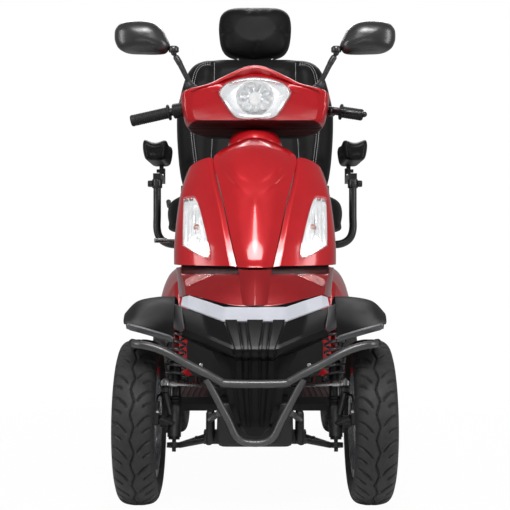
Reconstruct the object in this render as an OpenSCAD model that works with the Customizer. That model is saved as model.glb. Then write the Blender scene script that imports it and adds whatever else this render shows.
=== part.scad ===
// Four-wheel mobility scooter, nose toward -Y, ground at z = 0, millimetres.
// Built as named pieces around one frame: wheels on struts, tiller, seat.

/* [Overall] */
// Length from the front bar to the rear shell
overall_length = 1560; // [1540:1:1600]
// Front axle back from the front of the bar
front_overhang = 250; // [240:1:262]
// Rear axle in from the end of the rear shell
rear_overhang = 230; // [222:1:240]

/* [Wheels] */
// Tyre outside diameter
tyre_d = 406; // [396:1:412]
// Front tyre section width
tyre_w = 100; // [92:1:106]
// Rear tyre section width
rear_tyre_w = 110; // [100:1:116]
// Rim bead seat diameter
rim_d = 254; // [246:1:262]
// Front track, tyre centre to tyre centre
front_track = 568; // [562:1:580]
// Rear track, tyre centre to tyre centre
rear_track = 576; // [570:1:590]
// Front brake disc diameter
disc_d = 140; // [120:1:150]
// Wheel spokes
spokes = 5; // [4:1:7]

/* [Front suspension] */
// Lean of the kingpins and of the tiller, degrees
rake = 14; // [11:0.5:16]
// Kingpin axis in from the tyre centre
kingpin_in = 84; // [81:1:88]
// Kingpin radius
kingpin_r = 8; // [7:0.5:9]
// Strut tube radius
strut_r = 15; // [13:0.5:17]
// Spring coil mean radius
spring_r = 23; // [22:0.5:24]
// Spring wire radius
wire_r = 3.5; // [2.5:0.25:4]
// Front spring coils
front_coils = 6; // [4:1:8]
// Lower arm pivot out from the middle
arm_pivot_x = 112; // [106:1:118]
// Lower arm pivot height
arm_pivot_z = 166; // [162:1:170]

/* [Steering] */
// Tiller axis behind the kingpin line
column_setback = 72; // [68:1:78]
// Tiller shaft radius
column_r = 14; // [12:0.5:16]
// Steering arm length
steer_arm = 55; // [50:1:58]
// Tiller tilt pivot along the shaft, from axle height
tilt_at = 690; // [684:1:696]

/* [Handlebar] */
// Handlebar tube radius
bar_r = 11; // [10:0.5:12]
// Grip radius
grip_r = 16; // [14:0.5:17]
// Throttle side reach
throttle_reach = 342; // [334:1:348]
// Lever side reach
lever_reach = 297; // [292:1:304]
// Mirror glass width
mirror_w = 152; // [140:1:158]
// Mirror glass height
mirror_h = 92; // [84:1:98]

/* [Frame] */
// Rail top height
rail_top = 210; // [206:1:214]
// Rail depth
rail_h = 40; // [34:1:44]
// Rail centre out from the middle
rail_x = 70; // [66:1:76]
// Rail width
rail_w = 32; // [28:1:36]
// Front bar tube radius
bumper_r = 9.5; // [8:0.5:10.5]
// Panel wall
panel_wall = 3; // [2.5:0.1:3.5]

/* [Floor] */
// Footboard width
floor_w = 548; // [520:1:570]
// Footboard thickness
floor_t = 12; // [8:1:14]

/* [Seat] */
// Seat post axis ahead of the rear axle
seat_ahead = 335; // [328:1:338]
// Seat pan underside height
pan_z = 664; // [660:1:672]
// Cushion width
cushion_w = 556; // [536:1:566]
// Cushion length
cushion_l = 466; // [440:1:474]
// Cushion height at the side rolls
cushion_h = 104; // [92:1:108]
// Backrest width
back_w = 540; // [520:1:552]
// Backrest height
back_h = 514; // [490:1:526]
// Backrest lean, degrees
back_lean = 9; // [7:0.5:11]
// Headrest width
headrest_w = 250; // [230:1:260]
// Headrest height
headrest_h = 184; // [170:1:192]
// Arm pad length
pad_l = 262; // [240:1:272]
// Arm pad width
pad_w = 74; // [66:1:78]
// Arm post out from the middle
post_x = 306; // [303:1:312]
// Arm post tube radius
post_r = 12; // [10:0.5:13]

/* [Hidden] */
$fn = 48;

red = [0.62, 0.07, 0.05];
black = [0.10, 0.10, 0.11];
steel = [0.55, 0.56, 0.58];
grey = [0.34, 0.34, 0.35];
silver = [0.76, 0.77, 0.79];
seat_grey = [0.22, 0.22, 0.23];
clear_lens = [0.86, 0.88, 0.9];

run = 0.05;
seat_gap = 0.3;
front_y = -overall_length / 2;
rear_y = overall_length / 2;
fy = front_y + front_overhang;
ry = rear_y - rear_overhang;
seat_y = ry - seat_ahead;
kingpin_x = front_track / 2 - kingpin_in;
axle_z = tyre_d / 2;
rake_s = sin(rake);
rake_c = cos(rake);
tyre_in = front_track / 2 - tyre_w / 2;
floor_z = rail_top + floor_t;
rail_bot = rail_top - rail_h;

// Vectors, smooth curves and grids.
function unit(v) = v / norm(v);
function cr(a, b, c, d, t) = 0.5 * (2 * b + (c - a) * t + (2 * a - 5 * b + 4 * c - d) * t * t
  + (3 * b - a - 3 * c + d) * t * t * t);
function cr_at(p, k, t) = cr(p[max(k - 1, 0)], p[k], p[min(k + 1, len(p) - 1)],
  p[min(k + 2, len(p) - 1)], t);
function smooth(p, m) = [for (k = [0:len(p) - 2]) for (i = [0:m - 1]) cr_at(p, k, i / m),
  p[len(p) - 1]];
function smooth_grid(g, m, n) = let (rows = [for (r = g) smooth(r, n)])
  let (cols = [for (c = [0:len(rows[0]) - 1]) smooth([for (r = rows) r[c]], m)])
  [for (i = [0:len(cols[0]) - 1]) [for (c = cols) c[i]]];
function full_row(r) = [for (i = [len(r) - 1:-1:1]) [-r[i][0], r[i][1], r[i][2]], each r];
function mirror_row(r) = [for (i = [len(r) - 1:-1:0]) [-r[i][0], r[i][1], r[i][2]]];
function grid_n(g, i, j) = let (a = g[min(i + 1, len(g) - 1)][j] - g[max(i - 1, 0)][j])
  let (b = g[i][min(j + 1, len(g[0]) - 1)] - g[i][max(j - 1, 0)]) unit(cross(b, a));
function grid_off(g, d) = [for (i = [0:len(g) - 1]) [for (j = [0:len(g[0]) - 1])
  g[i][j] + d * grid_n(g, i, j)]];
function grid_part(g, i0, i1, j0, j1) = [for (i = [i0:i1]) [for (j = [j0:j1]) g[i][j]]];
function flat(g) = [for (r = g) each r];
function total(v) = [for (x = v) 1] * v;
function face_vol(p, f) = total([for (i = [1:len(f) - 2]) p[f[0]] * cross(p[f[i]], p[f[i + 1]])]);
function turned(f) = [for (i = [len(f) - 1:-1:0]) f[i]];
// Solid whose faces all look outward, whichever way round they were listed.
module solid(points, faces) {
  inside_out = total([for (f = faces) face_vol(points, f)]) > 0;
  polyhedron(points = points, faces = inside_out ? [for (f = faces) turned(f)] : faces, convexity = 6);
}

// Closed skin between two grids of the same count; a lies on the side that the normals leave.
module skin(a, b) {
  m = len(a);
  n = len(a[0]);
  o = m * n;
  cells = [for (i = [0:m - 2]) for (j = [0:n - 2]) i * n + j];
  faces = concat(
    [for (k = cells) [k, k + 1, k + n]],
    [for (k = cells) [k + 1, k + n + 1, k + n]],
    [for (k = cells) [o + k, o + k + n, o + k + 1]],
    [for (k = cells) [o + k + 1, o + k + n, o + k + n + 1]],
    [for (j = [0:n - 2]) each [[j, o + j, o + j + 1], [j, o + j + 1, j + 1]]],
    [for (j = [0:n - 2]) let (q = (m - 1) * n + j)
      each [[q + 1, o + q + 1, o + q], [q + 1, o + q, q]]],
    [for (i = [0:m - 2]) let (q = i * n) each [[q + n, o + q + n, o + q], [q + n, o + q, q]]],
    [for (i = [0:m - 2]) let (q = i * n + n - 1)
      each [[q, o + q, o + q + n], [q, o + q + n, q + n]]]);
  solid(concat(flat(a), flat(b)), faces);
}
module shell(g, wall) {
  skin(g, grid_off(g, -wall));
}

// Rings of equal count joined in order, closed at both ends.
module ring_loft(rings) {
  n = len(rings[0]);
  m = len(rings);
  ends = [total(rings[0]) / n, total(rings[m - 1]) / n];
  faces = concat([for (k = [0:n - 1]) [n * m, k, (k + 1) % n]],
    [for (i = [0:m - 2]) for (k = [0:n - 1]) let (a = i * n + k, b = i * n + (k + 1) % n)
      each [[a, a + n, b], [b, a + n, b + n]]],
    [for (k = [0:n - 1]) [n * m + 1, (m - 1) * n + (k + 1) % n, (m - 1) * n + k]]);
  solid(concat(flat(rings), ends), faces);
}
function tangent(p, i) = unit(p[min(i + 1, len(p) - 1)] - p[max(i - 1, 0)]);
module sweep(path, r, sides, ref = [0.31, 0.17, 1]) {
  rings = [for (i = [0:len(path) - 1]) let (t = tangent(path, i), u = unit(cross(ref, t)),
    v = cross(t, u)) [for (k = [0:sides - 1]) path[i] + r * (cos(k * 360 / sides) * u
    - sin(k * 360 / sides) * v)]];
  ring_loft(rings);
}
module rod(a, b, r) {
  d = b - a;
  translate(a) rotate([0, acos(d[2] / norm(d)), atan2(d[1], d[0])]) cylinder(r = r, h = norm(d));
}
module tube_x(x0, x1, r) {
  translate([x0, 0, 0]) rotate([0, 90, 0]) cylinder(r = r, h = x1 - x0);
}
module tube_y(y0, y1, r) {
  translate([0, y0, 0]) rotate([-90, 0, 0]) cylinder(r = r, h = y1 - y0);
}
module block(x0, x1, y0, y1, z0, z1) {
  translate([x0, y0, z0]) cube([x1 - x0, y1 - y0, z1 - z0]);
}
module sides_of() {
  children();
  mirror([1, 0, 0]) children();
}
// Local frames: the left kingpin and the tiller, both along the raked axis.
module at_kingpin() {
  translate([kingpin_x, fy, axle_z]) rotate([-rake, 0, 0]) children();
}
module at_column() {
  translate([0, fy + column_setback, axle_z]) rotate([-rake, 0, 0]) children();
}
function column_point(s, f = 0) = [0, fy + column_setback + s * rake_s - f * rake_c,
  axle_z + s * rake_c + f * rake_s];

// Spring wire: one unbroken tube, flat end turns left out, ends clear of the seats.
function coil_path(r, z0, z1, turns, per) = [for (i = [0:turns * per])
  [r * cos(360 * i / per), r * sin(360 * i / per), z0 + (z1 - z0) * i / (turns * per)]];
module coil(r, w, z0, z1, turns) {
  sweep(coil_path(r, z0 + w + 0.3, z1 - w - 0.3, turns, 8), w, 6, [0, 0, 1]);
}

// Frame: rails, cross members, head tube, strut towers, seat box.
strut_seat = 96;
strut_top = 225;
rod_r = 8;
arm_ear_y = 20;
cross_y = fy - 10;
tower_y = fy + 98;
deck_z = 430;
box_y0 = seat_y - 66;
box_y1 = seat_y + 100;
leg_x = 195;
swing_y = box_y1 + 32;
swing_z = 205;
shock_x = 168;
shock_top = 424;
socket_r = 32;
seat_post_r = 25;
socket_top = 556;
pitman_s = 70;
head_low = 122;
head_high = 470;
module strut_mount() {
  at_kingpin() {
    translate([0, 0, strut_seat - 6]) cylinder(r = rod_r, h = strut_top - strut_seat + 7);
    translate([0, 0, strut_top]) cylinder(r = 30, h = 8);
  }
  tz = axle_z + strut_top * rake_c + 8;
  ty = fy + strut_top * rake_s;
  block(38, kingpin_x + 26, ty - 24, ty + 28, tz - 2, tz + 10);
  block(104, 112, ty - 12, tower_y + 20, tz - 90, tz);
  block(38, 112, tower_y - 6, tower_y + 20, tz - 90, tz - 60);
}
module arm_bracket() {
  block(rail_x - 20, arm_pivot_x + 14, cross_y - arm_ear_y, cross_y + arm_ear_y,
    arm_pivot_z - 14, arm_pivot_z + 16);
  translate([arm_pivot_x, cross_y, arm_pivot_z]) tube_y(-52, 52, 6);
}
module frame_plain() {
  sides_of() {
    block(rail_x - rail_w / 2, rail_x + rail_w / 2, fy - 60, box_y1 + 12, rail_bot, rail_top);
    arm_bracket();
    strut_mount();
    block(30, 44, tower_y - 6, tower_y + 70, rail_top - 1, 640);
    block(rail_x - 30, rail_x + 16, tower_y + 10, tower_y + 60, rail_top - 1, rail_top + 40);
    block(leg_x - 12, leg_x + 10, box_y0 - 12, box_y0 + 10, rail_bot, deck_z + 1);
    block(leg_x - 12, leg_x + 10, box_y1 - 10, box_y1 + 12, rail_bot, deck_z + 1);
    block(60, 68, box_y1 + 11, swing_y + 16, swing_z - 30, swing_z + 18);
    block(shock_x - 18, shock_x + 18, box_y1 - 1, ry + 20, deck_z, deck_z + 14);
    block(floor_w / 2 - 60, floor_w / 2 - 30, -170, -150, rail_bot, rail_top);
    block(rail_x, floor_w / 2 - 30, -170, -150, rail_bot + 8, rail_top - 8);
  }
  block(-rail_x, rail_x, fy - 60, fy + 2, rail_bot, rail_top);
  block(-leg_x, leg_x, box_y0 - 12, box_y0 + 10, rail_bot, rail_top);
  block(-leg_x, leg_x, box_y1 - 10, box_y1 + 12, rail_bot, rail_top);
  block(-leg_x - 10, leg_x + 10, box_y0 - 12, box_y1 + 12, deck_z, deck_z + 8);
  translate([0, swing_y, swing_z]) tube_x(-96, 96, 8);
  translate([0, seat_y, deck_z]) cylinder(r = socket_r, h = socket_top - deck_z);
  block(-44, 44, tower_y + 52, tower_y + 70, 560, 640);
  block(-60, 60, fy - 84, fy - 59, rail_bot + 6, rail_top - 6);
  at_column() translate([0, 0, head_low]) cylinder(r = 25, h = head_high - head_low);
  block(-34, 34, tower_y + 2, tower_y + 60, 420, 470);
  block(-30, 30, fy - 64, fy - 40, rail_top - 1, 360);
  block(-150, 150, fy - 64, fy - 56, 340, 360);
}
module chassis_frame() {
  color(red) difference() {
    frame_plain();
    at_column() translate([0, 0, head_low - 60]) cylinder(r = column_r + run, h = 520);
    at_column() translate([-80, -80, head_low - 70]) cube([160, 110, 70]);
    translate([0, seat_y, deck_z - 1]) cylinder(r = seat_post_r + run, h = 160);
  }
}

// Front bar: one wide tube across the nose and a V loop under it.
bar_y = front_y + bumper_r;
wing = [[59, 325], [80, 331], [112, 349], [150, 368], [190, 390], [222, 404], [250, 411]];
loop = [[110, 344], [98, 322], [78, 284], [60, 250], [49, 226], [40, 212], [26, 203], [10, 199.5]];
module bumper_bar() {
  half = concat([for (p = wing) [p[0], bar_y + max(0, p[0] - 200) * 0.12, p[1]]],
    [[266, bar_y + 13, 413], [277, bar_y + 24, 414]]);
  low = [for (p = loop) [p[0], bar_y, p[1] - 9]];
  back_y = fy - 84;
  color(grey) {
    union() {
      sweep(concat([for (i = [len(half) - 1:-1:0]) [-half[i][0], half[i][1], half[i][2]]], half),
        bumper_r, 10, [0, 1, 0.02]);
      sweep(concat([for (p = low) p], [for (i = [len(low) - 1:-1:0])
        [-low[i][0], low[i][1], low[i][2]]]), bumper_r - 1.5, 10, [0, 1, 0.02]);
    }
    sides_of() {
      rod([52, bar_y, 226], [52, back_y - 3, rail_top - 20], 6);
      block(40, 60, back_y - 6, back_y, rail_bot + 8, rail_top - 8);
    }
  }
}

// Nose panels as smooth grids. Rows run upward, points from the middle outward.
wing_rows = [
  [[0, -694, 204], [14, -693, 206], [28, -690, 214], [34, -684, 224], [36, -676, 232]],
  [[0, -700, 238], [22, -699, 238], [44, -696, 240], [52, -688, 244], [54, -676, 248]],
  [[0, -704, 296], [28, -703, 296], [54, -700, 297], [64, -692, 299], [66, -678, 302]],
  [[0, -706, 352], [30, -705, 352], [60, -702, 353], [74, -694, 356], [78, -680, 360]],
  [[0, -712, 384], [34, -712, 386], [66, -710, 394], [112, -700, 408], [168, -668, 424]],
  [[0, -730, 392], [36, -730, 394], [72, -728, 404], [118, -716, 418], [172, -682, 434]],
  [[0, -736, 404], [38, -736, 406], [74, -733, 416], [120, -718, 430], [166, -690, 446]],
  [[0, -722, 440], [40, -722, 442], [78, -718, 450], [122, -702, 464], [172, -668, 480]],
  [[0, -716, 462], [42, -716, 463], [80, -710, 470], [126, -692, 482], [174, -660, 494]]];
function lift(g, dy) = [for (r = g) [for (p = r) [p[0], fy + 530 + p[1] + dy, p[2]]]];
function nose(g) = lift([for (r = g) full_row(r)], 0);
bumper_g = smooth_grid(nose(wing_rows), 2, 2);
trim_rows = [
  [[0, -716, 462.7], [42, -716, 463.7], [80, -710, 470.7], [126, -692, 482.7], [174, -660, 494.7]],
  [[0, -714, 480], [42, -714, 481], [79, -707, 488], [124, -688, 500], [172, -655, 508]],
  [[0, -708, 495], [42, -708, 496], [78, -700, 502], [122, -681, 513], [168, -649, 519]]];
trim_g = smooth_grid(nose(trim_rows), 2, 2);
chin_rows = [
  [[0, -706, 498.5], [42, -705, 499.5], [78, -697, 505.5], [122, -678, 516], [164, -648, 523]],
  [[0, -690, 524], [42, -688, 526], [80, -680, 530], [124, -660, 537], [168, -626, 542]],
  [[0, -664, 556], [42, -660, 558], [84, -648, 560], [130, -628, 563], [176, -590, 566]],
  [[0, -636, 580], [42, -628, 582], [88, -614, 583], [136, -592, 585], [184, -548, 586]]];
chin_g = smooth_grid(nose(chin_rows), 2, 2);
centre_rows = [
  [[0, -648, 586], [20, -646, 586], [42, -638, 587]],
  [[0, -622, 645], [30, -619, 645], [56, -610, 646]],
  [[0, -574, 734], [40, -569, 734], [75, -556, 734]],
  [[0, -536, 796], [48, -530, 796], [91, -514, 796]],
  [[0, -484, 866], [56, -478, 864], [106, -462, 858]],
  [[0, -448, 900], [50, -443, 895], [90, -432, 884]],
  [[0, -396, 922], [38, -393, 914], [68, -388, 900]],
  [[0, -352, 926], [26, -351, 918], [46, -350, 906]]];
centre_g = smooth_grid(nose(centre_rows), 2, 2);
side_rows = [
  [[46, -638, 590], [100, -614, 590], [160, -578, 591], [198, -530, 592], [205, -440, 594],
    [203, -330, 596]],
  [[60, -608, 648], [106, -588, 647], [163, -556, 645], [199, -512, 643], [205, -430, 642],
    [203, -318, 641]],
  [[79, -554, 736], [118, -538, 733], [164, -512, 728], [194, -476, 722], [201, -406, 716],
    [200, -300, 710]],
  [[95, -512, 798], [126, -500, 796], [162, -478, 791], [185, -450, 785], [193, -390, 777],
    [192, -290, 768]],
  [[110, -460, 866], [130, -452, 862], [152, -438, 854], [169, -420, 842], [180, -372, 828],
    [181, -282, 815]]];
side_g = smooth_grid(lift(side_rows, 0), 3, 2);
module bumper_panel() {
  color(black) {
    union() {
      shell(bumper_g, panel_wall);
      sides_of() block(20, 34, fy - 174, fy - 64, 346, 354);
    }
  }
}
module trim_strip() {
  color(silver) shell(trim_g, panel_wall);
}
module chin_panel() {
  color(red) union() {
    shell(chin_g, panel_wall);
    sides_of() block(50, 62, fy - 132, fy - 64, 546, 552);
    sides_of() block(50, 62, fy - 72, fy - 64, 342, 550);
  }
}
module fairing_centre() {
  color(red) union() {
    shell(centre_g, panel_wall);
    block(-10, 10, fy - 33.8, tower_y - 6, 742, 750);
    block(-44, 44, tower_y - 12, tower_y - 6, 600, 752);
  }
}
module side_panel() {
  shell(side_g, panel_wall);
  block(44, 202.5, fy + 135, fy + 147, 616, 628);
}
module fairing_sides() {
  color(red) sides_of() side_panel();
}
// Lenses follow the panel under them at a small gap.
module lens_patch(g, i0, i1, j0, j1, t) {
  p = grid_part(grid_off(g, t + seat_gap + 0.2), i0, i1, j0, j1);
  q = grid_part(grid_off(g, seat_gap + 0.2), i0, i1, j0, j1);
  skin(p, q);
}
module lamp_lenses() {
  color(clear_lens) {
    sides_of() lens_patch(side_g, 1, 6, 3, 6, 4);
    sides_of() lens_patch(chin_g, 2, 4, 11, 14, 3);
    sides_of() lens_patch(rear_g, 17, 19, 13, 16, 5);
  }
}

// Front wings over the wheels, bolted to the strut towers.
fender_rows = [
  [[186, -728, 415], [222, -730, 426], [260, -730, 437], [296, -726, 446]],
  [[187, -732, 428], [222, -734, 439], [260, -734, 450], [297, -730, 459]],
  [[190, -690, 466], [230, -690, 468], [276, -688, 467], [308, -682, 458]],
  [[194, -600, 508], [238, -600, 508], [286, -598, 497], [317, -594, 470]],
  [[196, -530, 512], [240, -530, 511], [290, -528, 501], [319, -526, 474]],
  [[196, -440, 492], [240, -440, 490], [288, -440, 482], [316, -440, 462]],
  [[198, -360, 454], [240, -360, 454], [284, -362, 450], [310, -364, 440]]];
fender_g = smooth_grid([for (r = lift(fender_rows, 0)) [for (p = r)
  p + [front_track / 2 - 284, 0, 0]]], 2, 2);
module front_fenders() {
  ty = fy + strut_top * rake_s;
  tz = axle_z + strut_top * rake_c + 18;
  color(black) sides_of() union() {
    shell(fender_g, panel_wall);
    block(kingpin_x - 20, kingpin_x + 24, ty - 20, ty + 20, tz, tz + 4);
    block(kingpin_x + 4, kingpin_x + 36, ty - 20, ty + 4, tz, 498);
  }
}

// Floor and the panel that faces the rider's knees.
floor_y0 = fy + 262;
floor_y1 = box_y0 - 26;
module floor_pan() {
  color(black) union() {
    block(-floor_w / 2, floor_w / 2, floor_y0, floor_y1, rail_top, floor_z);
    sides_of() block(floor_w / 2 - 10, floor_w / 2, floor_y0, floor_y1, rail_top - 34, floor_z + 8);
    block(-floor_w / 2, floor_w / 2, floor_y0, floor_y0 + 8, rail_top, floor_z + 8);
  }
}
knee_rows = [[250, 262], [250, 420], [236, 520], [200, 590], [212, 650], [238, 740], [262, 800], [282, 850]];
knee_half = [150, 176, 188, 198, 196, 189, 178, 150];
module knee_panel() {
  rows = [for (i = [0:len(knee_rows) - 1]) let (y = fy + knee_rows[i][0] + 30, z = knee_rows[i][1],
    w = knee_half[i]) full_row([[0, y, z], [w * 0.55, y - 3, z], [w, y - 16, z]])];
  g = smooth_grid(rows, 2, 2);
  rev = [for (r = g) mirror_row(r)];
  back = [for (r = rev) [for (p = r) p - [0, panel_wall + 1, 0]]];
  color(black) union() {
    skin(rev, back);
    sides_of() block(60, 130, floor_y0 + 1.5, floor_y0 + 7.5, floor_z + 8, 272);
    sides_of() block(60, 130, floor_y0 + 1.5, fy + 277, 264, 272);
  }
}

// Rear shell over batteries, motor and rear wheels.
rear_rows = [
  [[0, 130, 244], [100, 130, 244], [190, 131, 244], [226, 136, 244], [236, 148, 244], [238, 160, 244]],
  [[0, 126, 400], [104, 126, 400], [194, 128, 396], [236, 136, 390], [248, 152, 384], [252, 170, 372]],
  [[0, 128, 546], [104, 128, 545], [192, 132, 538], [238, 144, 520], [256, 164, 492], [264, 196, 440]],
  [[0, 146, 570], [104, 148, 570], [196, 156, 562], [246, 176, 540], [274, 206, 500], [290, 246, 440]],
  [[0, 300, 588], [104, 300, 588], [200, 300, 582], [262, 302, 562], [292, 306, 520], [312, 312, 444]],
  [[0, 440, 592], [104, 440, 592], [202, 440, 587], [266, 440, 570], [298, 440, 524], [322, 440, 446]],
  [[0, 580, 584], [104, 580, 584], [200, 580, 579], [266, 580, 564], [298, 580, 520], [322, 580, 446]],
  [[0, 690, 560], [104, 690, 560], [198, 688, 556], [258, 684, 542], [290, 678, 506], [314, 668, 446]],
  [[0, 752, 510], [102, 750, 510], [192, 744, 506], [248, 730, 494], [280, 712, 470], [298, 700, 444]],
  [[0, 780, 440], [100, 778, 440], [188, 770, 438], [240, 752, 436], [272, 726, 434], [284, 710, 432]],
  [[0, 774, 330], [100, 772, 330], [186, 764, 334], [212, 752, 340], [222, 738, 348], [226, 726, 356]]];
rear_k = (rear_y - seat_y + 85) / 650;
function rear_shift(g) = [for (r = g) full_row([for (p = r)
  [p[0], seat_y - 85 + (p[1] - 130) * rear_k, p[2]]])];
rear_g = smooth_grid(rear_shift(rear_rows), 2, 2);
module rear_body() {
  color(red) difference() {
    union() {
      shell(rear_g, panel_wall);
      sides_of() block(110, 140, seat_y + 20, seat_y + 80, deck_z + 8, 582);
      sides_of() block(150, 186, ry - 60, ry - 10, deck_z + 14, 582);
    }
    translate([0, seat_y, 520]) cylinder(r = socket_r + 4, h = 100);
  }
}
module battery_pack() {
  color(black) {
    sides_of() union() {
      block(6, leg_x - 16, box_y0 + 14, box_y1 - 14, rail_top, rail_top + 168);
      block(30, 60, box_y0 + 30, box_y0 + 60, rail_top + 168, rail_top + 178);
      block(120, 150, box_y0 + 30, box_y0 + 60, rail_top + 168, rail_top + 178);
    }
    block(-60, 60, box_y1 + 40, box_y1 + 180, deck_z + 9, deck_z + 50);
    block(-168, 168, box_y1 + 90, box_y1 + 130, deck_z + 14, deck_z + 20);
  }
}

// Tiller shaft with its steering plate, two link pins and the tilt lug on top.
pin_r = 5;
pin_x = 20;
module steering_column() {
  color(black) union() {
    at_column() {
      translate([0, 0, pitman_s - 32]) cylinder(r = column_r, h = tilt_at - 18 - pitman_s + 32);
      translate([0, 0, head_high + 0.4]) cylinder(r = column_r + 8, h = 8);
      translate([0, 0, pitman_s - 34]) cylinder(r = column_r + 7, h = 8);
      translate([-pin_x - 10, -steer_arm - 10, pitman_s - 34]) cube([2 * pin_x + 20, steer_arm + 10, 8]);
      sides_of() translate([pin_x, -steer_arm, pitman_s - 30]) cylinder(r = pin_r, h = 60);
      difference() {
        union() {
          translate([-9, -column_r, tilt_at - 34]) cube([18, 2 * column_r, 34]);
          translate([0, 0, tilt_at]) tube_x(-9, 9, column_r + 2);
        }
        translate([0, 0, tilt_at]) tube_x(-20, 20, 7 + run);
      }
    }
  }
}

// Handlebar: fork on the tilt pin, clamp block, bent tube, lever perch and throttle collar.
bar_z = 1018;
bar_c_y = column_point(835)[1];
bar_path = [[-throttle_reach, bar_c_y + 24, 985], [-230, bar_c_y + 15, 1009],
  [-186, bar_c_y + 10, 1016], [-130, bar_c_y + 2, bar_z], [-60, bar_c_y, bar_z],
  [60, bar_c_y, bar_z], [130, bar_c_y + 2, bar_z], [186, bar_c_y + 9, 1015],
  [230, bar_c_y + 13, 1010], [lever_reach, bar_c_y + 20, 1001]];
grip_in_r = bar_path[1];
grip_out_r = bar_path[0];
grip_in_l = bar_path[8];
grip_out_l = bar_path[9];
dash_y = bar_c_y + 51;
dash_tilt = 26.565;
module at_dash() {
  translate([0, dash_y, 1000]) rotate([dash_tilt, 0, 0]) children();
}
lever_pivot = [208, bar_c_y - 12, 1008];
module handlebar() {
  color(black) difference() {
    union() {
      sweep(bar_path, bar_r, 12, [0, 1, 0.02]);
      at_column() {
        translate([0, 0, tilt_at + 22]) cylinder(r = 17, h = 118);
        sides_of() translate([9.4, -16, tilt_at - 14]) cube([9, 32, 40]);
        translate([0, 0, tilt_at]) tube_x(-19, 19, 7);
      }
      at_dash() block(-32, 32, -60, -18, 16, 60);
      translate(lever_pivot) {
        translate([0, 0, -13]) cylinder(r = 9, h = 6);
        translate([0, 0, -12]) cylinder(r = 3, h = 20);
        translate([0, 0, 5.2]) cylinder(r = 9, h = 5);
        block(-7, 7, 0, 14, -13, -7);
        block(-7, 7, 0, 14, 5.2, 10.2);
        block(-7, 7, 9, 16, -13, 10.2);
      }
      rod(grip_in_r + [6, -0.8, 1.4], grip_in_r + [34, -4, 6], grip_r + 3);
    }
    at_column() translate([-60, -60, tilt_at - 90]) cube([120, 120, 30]);
  }
}
function along(a, b, t) = a + (b - a) * t;
module grip_tube(a, b, bore) {
  difference() {
    union() {
      rod(a, b, grip_r);
      rod(a, along(a, b, 0.06), grip_r + 6);
    }
    rod(along(a, b, -0.2), along(a, b, 1.2), bore);
  }
}
module throttle_grip() {
  color(black) grip_tube(along(grip_in_r, grip_out_r, 0.03), along(grip_in_r, grip_out_r, 0.995),
    bar_r + 0.08);
}
module left_grip() {
  a = along(grip_in_l, grip_out_l, 0.04);
  color(black) difference() {
    rod(along(a, grip_out_l, 0.0), along(a, grip_out_l, 0.995), grip_r);
    rod(along(a, grip_out_l, -0.4), along(a, grip_out_l, 1.4), bar_r + 0.08);
  }
}
module brake_lever() {
  p = lever_pivot;
  path = smooth([p + [4, -8, -1], p + [20, -22, -3], p + [44, -31, -7], p + [70, -32, -11],
    p + [86, -31, -13]], 3);
  color(silver) difference() {
    union() {
      translate(p + [0, 0, -6.7]) cylinder(r = 8, h = 11.6);
      sweep(path, 5, 10, [0.2, 0.3, 1]);
      translate(path[len(path) - 1]) sphere(r = 8);
    }
    translate(p + [0, 0, -20]) cylinder(r = 3 + run, h = 40);
  }
}

// Cowl over the handlebar middle: outline seen from the front, lofted front to back.
cowl_out = [[0, 1120], [26, 1116], [56, 1104], [92, 1086], [124, 1074], [160, 1066], [188, 1052],
  [197, 1034], [195, 1008], [188, 976], [180, 956], [150, 948], [90, 946], [0, 945]];
cowl_ring = concat(cowl_out, [for (i = [len(cowl_out) - 2:-1:1]) [-cowl_out[i][0], cowl_out[i][1]]]);
cowl_steps = [[-97, 0.86, -0.10, 8], [-90, 0.965, -0.10, 4], [-62, 1, -0.06, 0], [-10, 0.99, -0.2, -2],
  [26, 0.95, -0.36, -8], [51, 0.86, -0.5, -14]];
function cowl_at(s, inset) = [for (p = cowl_ring) let (x = p[0] * s[1], z = 1012 + (p[1] - 1012) * s[1] + s[3],
  d = norm([x, z - 1012]), k = (d - inset) / d) [x * k, bar_c_y + s[0] + s[2] * (z - 1000),
  1012 + (z - 1012) * k]];
module cowl_loft(inset, start, more) {
  last = cowl_at(cowl_steps[len(cowl_steps) - 1], inset);
  rings = [for (i = [0:len(cowl_steps) - 1]) [for (p = cowl_at(cowl_steps[i], inset))
    p + [0, i == 0 ? start : 0, 0]]];
  ring_loft(more > 0 ? concat(rings, [[for (p = last) p + [0, more, 0]]]) : rings);
}
lamp_out = [[0, 1087], [38, 1083], [78, 1070], [97, 1046], [86, 1022], [52, 978], [0, 975]];
lamp_poly = concat(lamp_out, [for (i = [len(lamp_out) - 2:-1:1]) [-lamp_out[i][0], lamp_out[i][1]]]);
lamp_y = bar_c_y - 97 - 10;
module lamp_prism(k, y0, y1) {
  translate([0, y1, 0]) rotate([90, 0, 0]) linear_extrude(height = y1 - y0)
    polygon([for (p = lamp_poly) [p[0] * k, 1032 + (p[1] - 1032) * k]]);
}
module handlebar_cowl() {
  color(red) difference() {
    cowl_loft(0, 0, 0);
    cowl_loft(panel_wall, panel_wall, 20);
    lamp_prism(0.93, lamp_y - 40, bar_c_y - 62);
    at_column() translate([0, 0, tilt_at + 10]) cylinder(r = 34, h = 110);
    rod(bar_path[2] + [30, 0, 0], bar_path[1] - [40, 0, 8], bar_r + 12);
    rod(bar_path[7] - [30, 0, 0], bar_path[8] + [30, 2, -4], bar_r + 12);
    translate([182, bar_c_y - 70, 985]) cube([60, 72, 48]);
    sides_of() rod([152, bar_c_y - 2, 1030], [180, bar_c_y - 8, 1086], 9);
  }
}
module headlamp_lens() {
  color(clear_lens) intersection() {
    lamp_prism(0.99, lamp_y - 30, bar_c_y - 60);
    difference() {
      cowl_front(lamp_front + 6);
      cowl_front(lamp_front);
    }
  }
}
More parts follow.
